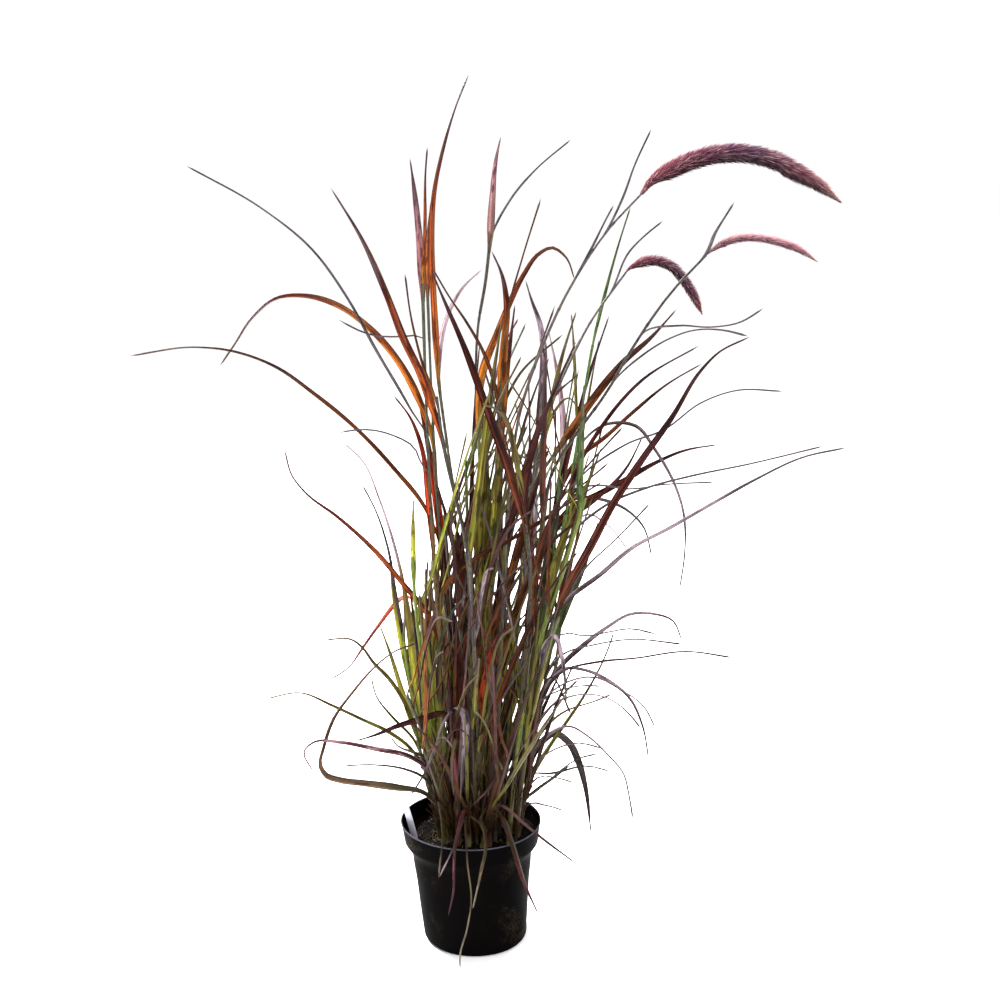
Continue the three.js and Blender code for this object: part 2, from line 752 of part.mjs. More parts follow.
function growPlume(name, plan, stem) {
  const top = stem.facets[stem.facets.length - 1].point;
  const below = stem.facets[stem.facets.length - 2].point;
  const direction = top.clone().sub(below).normalize();
  const start = top.clone().addScaledVector(direction, SEAT_GAP);
  const points = seenLine(start.y, plan.seen, start.y - 6, 0);
  const line = smoothLine([start, ...points], direction);
  const facets = facetLine(line, 6, 12);
  const lengths = lengthsOf(name, facets, (share) => plumeRadius(plan.radius, share) + 1);
  lengths[0].radius = STEM_TOP_RADIUS;
  return { name, plan, line, facets, lengths, direction };
}

// Solids

function solidOf(positions, triangles) {
  return new wasm.Manifold(new wasm.Mesh({
    numProp: 3,
    vertProperties: new Float32Array(positions),
    triVerts: new Uint32Array(triangles),
  }));
}

function solidFromGeometry(geometry) {
  geometry.deleteAttribute("normal");
  geometry.deleteAttribute("uv");
  const merged = mergeVertices(geometry, 1e-4);
  return solidOf(merged.attributes.position.array, merged.index.array);
}

function meshFromSolid(name, solid, colour, roughness) {
  const { vertProperties, triVerts } = solid.getMesh();
  const geometry = new THREE.BufferGeometry();
  geometry.setAttribute("position", new THREE.BufferAttribute(vertProperties, 3));
  geometry.setIndex(new THREE.BufferAttribute(triVerts, 1));
  geometry.computeVertexNormals();
  const material = new THREE.MeshStandardMaterial({ color: colour, roughness, metalness: 0 });
  const mesh = new THREE.Mesh(geometry, material);
  mesh.name = name;
  return mesh;
}

// A solid through rings of points that all have the same count. A last
// ring of one point makes a tip.
function solidFromRings(rings) {
  const count = rings[0].length;
  const positions = rings.flat().flatMap((point) => point.toArray());
  const triangles = [];
  for (let i = 2; i < count; i += 1) triangles.push(0, i, i - 1);
  for (let k = 0; k < rings.length - 1; k += 1) {
    const low = k * count;
    const high = low + count;
    for (let i = 0; i < count; i += 1) {
      const next = (i + 1) % count;
      if (rings[k + 1].length === 1) {
        triangles.push(low + i, low + next, high);
      } else {
        triangles.push(low + i, low + next, high + next, low + i, high + next, high + i);
      }
    }
  }
  const end = rings[rings.length - 1].length;
  const start = (rings.length - 1) * count;
  for (let i = 2; i < end; i += 1) triangles.push(start, start + i - 1, start + i);
  return solidOf(positions, triangles);
}

function roundRing(centre, direction, side, radius, sides) {
  const up = direction.clone().cross(side);
  return Array.from({ length: sides }, (_, i) => {
    const angle = (2 * Math.PI * i) / sides;
    return centre.clone()
      .addScaledVector(side, radius * Math.cos(angle))
      .addScaledVector(up, radius * Math.sin(angle));
  });
}

function tubeSolid(facets, radiusAt, sides, startDirection) {
  const directions = directionsAlong(facets);
  if (startDirection) directions[0] = startDirection;
  const sideVectors = sidesAlong(directions, STEM_CORNER);
  return solidFromRings(facets.map((facet, i) => (
    roundRing(facet.point, directions[i], sideVectors[i], radiusAt(facet.share), sides)
  )));
}

// A blade is a flat face over a low keel, three-sided, with a pointed tip
function bladeSolid(blade) {
  const directions = directionsAlong(blade.facets);
  const sides = sidesAlong(directions, blade.side);
  const [turn, endTurn] = blade.turns;
  const rings = blade.facets.slice(0, -1).map(({ point, share }, i) => {
    const angle = THREE.MathUtils.degToRad(turn + (endTurn - turn) * share);
    const side = sides[i].clone().applyAxisAngle(directions[i], angle);
    const down = side.clone().cross(directions[i]);
    const half = bladeWidth(blade.width, share) / 2;
    return [
      point.clone().addScaledVector(side, half),
      point.clone().addScaledVector(side, -half),
      point.clone().addScaledVector(down, KEEL + (TIP_KEEL - KEEL) * share),
    ];
  });
  return solidFromRings([...rings, [blade.facets[blade.facets.length - 1].point]]);
}

function stemSolid(stem) {
  const blades = stem.blades.map(bladeSolid);
  return wasm.Manifold.union([...blades, tubeSolid(stem.facets, stemRadius, STEM_SIDES)]);
}

// The room that a stem's foot takes in the compost
function holeSolid(stem) {
  const [bottom, next] = stem.facets;
  const direction = next.point.clone().sub(bottom.point).normalize();
  const low = bottom.point.clone().addScaledVector(direction, -SEAT_GAP);
  const high = bottom.point.clone().addScaledVector(direction, STEM_IN_SOIL * 1.6);
  const side = sidesAlong([direction], STEM_CORNER)[0];
  const radius = STEM_FOOT_RADIUS + HOLE_GAP / Math.cos(Math.PI / STEM_SIDES);
  return solidFromRings([low, high].map((point) => (
    roundRing(point, direction, side, radius, STEM_SIDES)
  )));
}

// Spikelets stand out of the core in a spiral and point to the tip
function plumeSolid(plume) {
  const { radius, spikelets } = plume.plan;
  const coreRadius = (share) => PLUME_CORE * plumeRadius(radius, share);
  const core = tubeSolid(plume.facets, coreRadius, 6, plume.direction);
  const angle = THREE.MathUtils.degToRad(SPIKELET_ANGLE);
  const sideStart = new THREE.Vector3(0, 1, 0);
  const lineFacets = plume.line.map((point) => ({ point }));
  const directions = directionsAlong(lineFacets);
  const sides = sidesAlong(directions, sideStart);
  const solids = [core];
  for (let k = 0; k < spikelets; k += 1) {
    const share = 0.015 + (0.97 * (k + 0.5)) / spikelets;
    const i = Math.round(share * (plume.line.length - 1));
    const out = sides[i].clone().applyAxisAngle(directions[i], k * GOLDEN_ANGLE);
    const full = plumeRadius(radius, share);
    const course = directions[i].clone().multiplyScalar(Math.cos(angle))
      .addScaledVector(out, Math.sin(angle));
    const place = share * (plume.line.length - 1) - i;
    const near = plume.line[Math.max(0, Math.min(plume.line.length - 1, i + Math.sign(place)))];
    const centre = plume.line[i].clone().lerp(near, Math.abs(place));
    const root = centre.addScaledVector(out, full * PLUME_CORE * 0.55);
    const length = (full * (1 - PLUME_CORE * 0.55)) / Math.sin(angle);
    const tip = root.clone().addScaledVector(course, length);
    const side = out.clone().cross(directions[i]);
    solids.push(solidFromRings([roundRing(root, course, side, 0.13 * full + 0.5, 3), [tip]]));
  }
  return wasm.Manifold.union(solids);
}

// Pot and compost

function lean(geometry) {
  const position = geometry.attributes.position;
  for (let i = 0; i < position.count; i += 1) {
    position.setX(i, position.getX(i) + potAxis(position.getZ(i)));
  }
  return geometry;
}

function turned(profile) {
  const points = profile.map(([radius, z]) => new THREE.Vector2(radius, z));
  return lean(new THREE.LatheGeometry(points, POT_SIDES).rotateX(Math.PI / 2));
}

function potSolid() {
  const inner = POT_OUTSIDE.map(([radius, z]) => [radius - WALL, z]).reverse();
  const rounding = BASE_ROUNDING * 0.3;
  const profile = [
    [0, 0],
    [BASE_RADIUS - BASE_ROUNDING, 0],
    [BASE_RADIUS - rounding, rounding],
    ...POT_OUTSIDE,
    ...inner.slice(0, -1),
    [BASE_RADIUS - WALL, BASE_ROUNDING],
    [BASE_RADIUS - BASE_ROUNDING, WALL],
    [0, WALL],
  ];
  let pot = solidFromGeometry(turned(profile));
  for (let i = 0; i < DRAIN_HOLES; i += 1) {
    const angle = (2 * Math.PI * (i + 0.5)) / DRAIN_HOLES;
    const hole = new THREE.CylinderGeometry(DRAIN_HOLE_RADIUS, DRAIN_HOLE_RADIUS, 4 * WALL, 8);
    hole.rotateX(Math.PI / 2);
    hole.translate(DRAIN_RING_RADIUS * Math.cos(angle), DRAIN_RING_RADIUS * Math.sin(angle), 0);
    pot = pot.subtract(solidFromGeometry(hole));
  }
  return pot;
}

function soilSolid(stems) {
  const fit = WALL + SEAT_GAP;
  const edge = SOIL_HEIGHT - SOIL_EDGE_DROP;
  const profile = [
    [0, fit],
    [BASE_RADIUS - BASE_ROUNDING - SEAT_GAP, fit],
    ...POT_OUTSIDE.slice(0, 3).map(([radius, z]) => [radius - fit, z]),
    [potRadius(edge) - fit, edge],
    [SOIL_FLAT_RADIUS, SOIL_HEIGHT],
    [0, SOIL_HEIGHT],
  ];
  const holes = wasm.Manifold.union([...stems.map(holeSolid), labelSolid(HOLE_GAP)]);
  return solidFromGeometry(turned(profile)).subtract(holes);
}

// A flat stick with a point, leaning out towards the rim
function labelSolid(grow) {
  const half = LABEL_WIDTH / 2 + grow;
  const outline = new THREE.Shape([
    new THREE.Vector2(0, -LABEL_IN_SOIL - grow * 2),
    new THREE.Vector2(half, LABEL_POINT - LABEL_IN_SOIL),
    new THREE.Vector2(half, LABEL_LENGTH - LABEL_IN_SOIL),
    new THREE.Vector2(-half, LABEL_LENGTH - LABEL_IN_SOIL),
    new THREE.Vector2(-half, LABEL_POINT - LABEL_IN_SOIL),
  ]);
  const depth = LABEL_THICKNESS + 2 * grow;
  const geometry = new THREE.ExtrudeGeometry(outline, { depth, bevelEnabled: false });
  geometry.translate(0, 0, -depth / 2);
  geometry.rotateX(Math.PI / 2);
  geometry.rotateY(THREE.MathUtils.degToRad(-LABEL_LEAN));
  geometry.rotateZ(THREE.MathUtils.degToRad(-LABEL_TURN));
  geometry.translate(LABEL_FOOT[0], LABEL_FOOT[1], SOIL_HEIGHT);
  return solidFromGeometry(geometry);
}

// The whole plant: stems first, then plumes, then blades

function growPlant() {
  const draw = drawer(20261127);
  const stems = [];
  const feet = [];
  const keep = (stem, foot, colour) => {
    if (!stem) return;
    stem.colour = colour;
    stems.push(stem);
    feet.push(foot);
    taken.push(...stem.lengths);
  };
  Object.entries(SHOWN_STEMS).forEach(([name, plan]) => {
    keep(growShownStem(name, plan, draw), plan.foot, plan.colour);
  });
  const plumes = Object.entries(PLUMES).map(([name, plan]) => {
    const plume = growPlume(name, plan, stems.find((stem) => stem.name === plan.stem));
    taken.push(...plume.lengths);
    return plume;
  });
  const shownCount = stems.length;
  const ruleColours = ["olive", "burgundy", "green", "rust", "mauve"];
  for (let k = 0; k < CROWN_PLACES && stems.length < shownCount + RULE_STEMS; k += 1) {
    const radius = CROWN_RADIUS * Math.sqrt((k + 0.5) / CROWN_PLACES);
    const angle = k * GOLDEN_ANGLE;
    const foot = [CROWN[0] + radius * Math.cos(angle), CROWN[1] + radius * Math.sin(angle)];
    const apart = feet.every(([x, y]) => Math.hypot(x - foot[0], y - foot[1]) > CROWN_SPACING);
    if (!apart) continue;
    const number = String(stems.length - shownCount + 1).padStart(2, "0");
    keep(growRuleStem(`stem_${number}`, foot, draw), foot, ruleColours[stems.length % 5]);
  }
  Object.entries(SHOWN_STEMS).forEach(([name, plan]) => {
    const stem = stems.find((one) => one.name === name);
    plan.blades.forEach((blade) => {
      growShownBlade(stem, blade, draw);
    });
  });
  const shares = [[0.92, 1], [0.7, 0.92], [0.5, 0.7], [0.3, 0.5]];
  shares.forEach(([low, high], round) => {
    stems.forEach((stem, i) => {
      if (i < shownCount && round % 2 === 0) return;
      growRuleBlade(stem, low, high, draw);
    });
  });
  return { stems, plumes };
}

const plant = growPlant();
const model = new THREE.Group();
model.add(meshFromSolid("pot", potSolid(), 0x15130f, 0.5));
model.add(meshFromSolid("soil", soilSolid(plant.stems), 0x1d1510, 0.95));
model.add(meshFromSolid("label", labelSolid(0), 0xc9c6d6, 0.45));
plant.stems.forEach((stem) => {
  model.add(meshFromSolid(stem.name, stemSolid(stem), COLOURS[stem.colour], 0.6));
});
plant.plumes.forEach((plume) => {
  model.add(meshFromSolid(plume.name, plumeSolid(plume), PLUME_COLOUR, 0.8));
});

export default model;
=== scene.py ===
"""Potted purple fountain grass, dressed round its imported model.

The pot, compost and label are modelled by hand with Blender's own tools. The leafy stems and
plumes grow again by the rule that made their solids, along the same lines, and get folded
blades, sheaths, nodes and bristles. Growth is worked out in millimetres and meshes are in metres.
"""

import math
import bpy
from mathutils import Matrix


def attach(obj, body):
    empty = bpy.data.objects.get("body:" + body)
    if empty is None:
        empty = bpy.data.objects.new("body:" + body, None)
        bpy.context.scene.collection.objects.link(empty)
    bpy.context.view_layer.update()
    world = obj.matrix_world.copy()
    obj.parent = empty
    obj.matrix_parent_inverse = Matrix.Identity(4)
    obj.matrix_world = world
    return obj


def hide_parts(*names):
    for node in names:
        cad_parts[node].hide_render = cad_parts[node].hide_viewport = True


bl_info = {
    "name": "Potted Purple Fountain Grass",
    "version": (1, 0, 0),
    "blender": (4, 5, 0),
    "location": "3D View > Sidebar > Fountain Grass",
    "description": "Models a clump of purple fountain grass in a black nursery pot",
    "category": "Add Mesh",
}

from functools import partial
from types import SimpleNamespace

import bpy
import numpy as np
from bpy.props import FloatProperty, FloatVectorProperty, IntProperty, PointerProperty
from mathutils import Matrix, Vector, noise

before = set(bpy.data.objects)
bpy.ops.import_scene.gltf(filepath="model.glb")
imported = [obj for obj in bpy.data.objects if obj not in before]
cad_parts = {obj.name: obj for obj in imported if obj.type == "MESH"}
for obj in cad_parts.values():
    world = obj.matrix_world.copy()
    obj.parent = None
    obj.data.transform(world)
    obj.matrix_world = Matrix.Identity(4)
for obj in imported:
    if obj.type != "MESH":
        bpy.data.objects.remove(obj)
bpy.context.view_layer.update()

MM = 0.001

# Pot and compost, in millimetres
POT_HEIGHT = 172
RIM_RADIUS = 96
COLLAR_FOOT_RADIUS = 91.5
COLLAR_DEPTH = 28
SHOULDER_RADIUS = 82
SHOULDER_DEPTH = 44
BASE_RADIUS = 71
BASE_ROUNDING = 7
WALL = 1.6
RIM_OFFSET = -6  # the soft pot stands crooked, its rim to the left of its foot
DRAIN_HOLES = 4
DRAIN_HOLE_RADIUS = 5
DRAIN_RING_RADIUS = 50
SEAT_GAP = 0.3
SOIL_HEIGHT = 152
SOIL_EDGE_DROP = 3
POT_OUTSIDE = [
    (BASE_RADIUS, BASE_ROUNDING),
    (SHOULDER_RADIUS, POT_HEIGHT - SHOULDER_DEPTH),
    (COLLAR_FOOT_RADIUS, POT_HEIGHT - COLLAR_DEPTH),
    (RIM_RADIUS, POT_HEIGHT),
]

# Label, in millimetres and degrees
LABEL_WIDTH = 12
LABEL_THICKNESS = 0.9
LABEL_LENGTH = 66
LABEL_POINT = 10
LABEL_POINT_WIDTH = 0.12  # share of the full width
LABEL_CUTS = (-4, 6, 16, 26, 36)  # heights at which it is cut so that it can bow
LABEL_IN_SOIL = 22
LABEL_FOOT = (-83, -16)
LABEL_TURN = 40
LABEL_LEAN = 19

# Stems and blades, in millimetres
STEM_FOOT_RADIUS = 2.9
STEM_TOP_RADIUS = 1.5
STEM_IN_SOIL = 18
STEM_FACETS = (3, 9)
BLADE_FACETS = (3, 11)
PLUME_FACETS = (6, 12)
PLUME_TIP_DEPTH = -6
CROWN = (3, 0)
CROWN_RADIUS = 50
CROWN_PLACES = 64
CROWN_SPACING = 9.2
GOLDEN_ANGLE = 2.399963
RULE_STEMS = 27
RULE_STEM_LENGTH = (240, 620)
RULE_COLOURS = ("olive", "burgundy", "green", "rust", "mauve")
RULE_HEADING = (-0.5, 0.5)
RULE_LEAN = 0.03
RULE_LEAN_MOVE = (-0.06, 0.08)
RULE_SWAY = (0.02, 0.09)
RULE_TOP_BEND = 0.12
RULE_EDGE_LEAN = 0.36
RULE_EDGE_SHORTER = 0.45
RULE_BLADE_ROOTS = ((0.92, 1), (0.7, 0.92), (0.5, 0.7), (0.3, 0.5))
RULE_BLADE_TURN = 15
LEAST_DROOP = 0.01
DROOP_POINTS = 4
ALL_ROUND = (-math.pi, math.pi)
CLEARANCE = 0.45
BLADE_ROOM = 1.5
TRIES = 60
CHORD_STEPS = 8
STEP_LENGTH = 135
STEP_TURN = 28
DEPTH_REACH = 310
LOWEST = 6
END_DEPTH_SHARE = 1.4  # how much deeper than its root a shown blade's tip lies

# Rules for the other blades, in the order of the draws, a bend multiplying the droop. Only a
# stiff share of a soft blade's width has to keep off the others.
STIFF_SHARE = 0.6
BLADE_RULE = {"heading": ALL_ROUND, "spread": (0.12, 0.6), "length": (200, 400), "droop": (0, 0.55),
              "bend": (0, 0.55), "width": (4.5, 9), "twist": (-50, 50)}
BASAL_RULE = {"root": (0.03, 0.3), "heading": ALL_ROUND, "spread": (0.04, 0.24), "length": (150, 400),
              "droop": (0.004, 0.05), "width": (4, 7), "twist": (-60, 60)}
FINE_RULE = {"root": (0.25, 0.98), "droop": (0, 0.45), "bend": (0, 0.45), "heading": ALL_ROUND,
             "spread": (0.12, 0.8), "length": (130, 380), "width": (2, 5), "twist": (-70, 70)}
TUFT_RULE = SimpleNamespace(root=(0.012, 0.06), heading=(-1.3, 1.3), spread=(0.02, 0.5), edge_spread=0.4,
                            length=(40, 190), edge_length=90, droop=(0.01, 0.16), width=(2, 4.6),
                            twist=(-60, 60), room=1.2)

# Soft form of blades, sheaths, culms and plumes: lengths in millimetres, the turn in degrees, the
# phase in radians, and waves, swell, core and root as shares
PHASE = (0, 6.28)
RIPPLE_LENGTH = (18, 42)
RIPPLE_TURN = 5
EDGE_WAVE = 0.04
EDGE_WAVE_LENGTH = 13
SHEATH_BELOW = (46, 95)
SHEATH_ABOVE = 7
LEAST_SHEATH = 16
LEAST_SHEATHED = 4
FIRST_NODE = (14, 40)
NODE_GAP = (70, 130)
NODE_FREE_TOP = 20
NODE_RINGS = (-5, -2.2, -0.8, 0.8, 2.2, 6)
NODE_SWELL = 0.26
NODE_REACH = 2.4
CULM_STEP = 24
LEAST_CULM_STEP = 0.7
CORE_SHARE = 0.42
HAIR_ROOT = 0.32

# Crumbs, bark and bits of dead grass on the compost, in millimetres
COMPOST_SIDES = 108
COMPOST_RINGS = 40
CRUMB_REACH = 86
BARK_EVERY = 9
BARK_SIZE = (1.6, 3.6)
FIBRE_REACH = 84
FIBRE_LENGTH = (8, 34)
FIBRE_THICKNESS = (0.15, 0.42)

# The compost's surface and the parts of the pot that don't wave, in metres
SOIL_FLAT_RADIUS = 0.062
SOIL_EDGE_WIDTH = 0.026
CROWN_RISE = 0.004
CROWN_RISE_RADIUS = 0.05
STIFF_FOOT = 0.03
STIFF_FLOOR = 0.06

# Seeds of the draws, and the number of the first plume among the stems
SOLIDS_SEED = 20261127
FINE_SEED = 4081
CRUMB_SEED = 611
FIBRE_SEED = 733
STEM_SEED = 5077
FIRST_PLUME = 1000

# Where the photograph was taken from, in millimetres, the camera, and the lights in metres:
# place, size and the setting that holds the power
EYE = np.array((34.0, -2200.0, 1198.0))
CAMERA_TILT = 75.35
CAMERA_SENSOR = 36
CAMERA_LENS = 62.8
LIGHTS_AIM = (0, 0, 0.5)
LIGHTS = {
    "back_light": ((-1.5, 1.6, 2.1), 0.7, "back"),
    "top_light": ((0.3, -0.3, 3.1), 0.6, "top"),
    "front_light": ((0.9, -2.0, 1.9), 0.5, "front"),
}

# The sides of the dense part of the clump as seen: height, left, right
OUTLINE = [
    (150, -52, 58),
    (200, -75, 85),
    (260, -112, 150),
    (350, -98, 165),
    (450, -84, 118),
    (550, -62, 145),
    (650, -24, 185),
    (760, -8, 200),
    (850, 4, 190),
    (885, 60, 150),
]

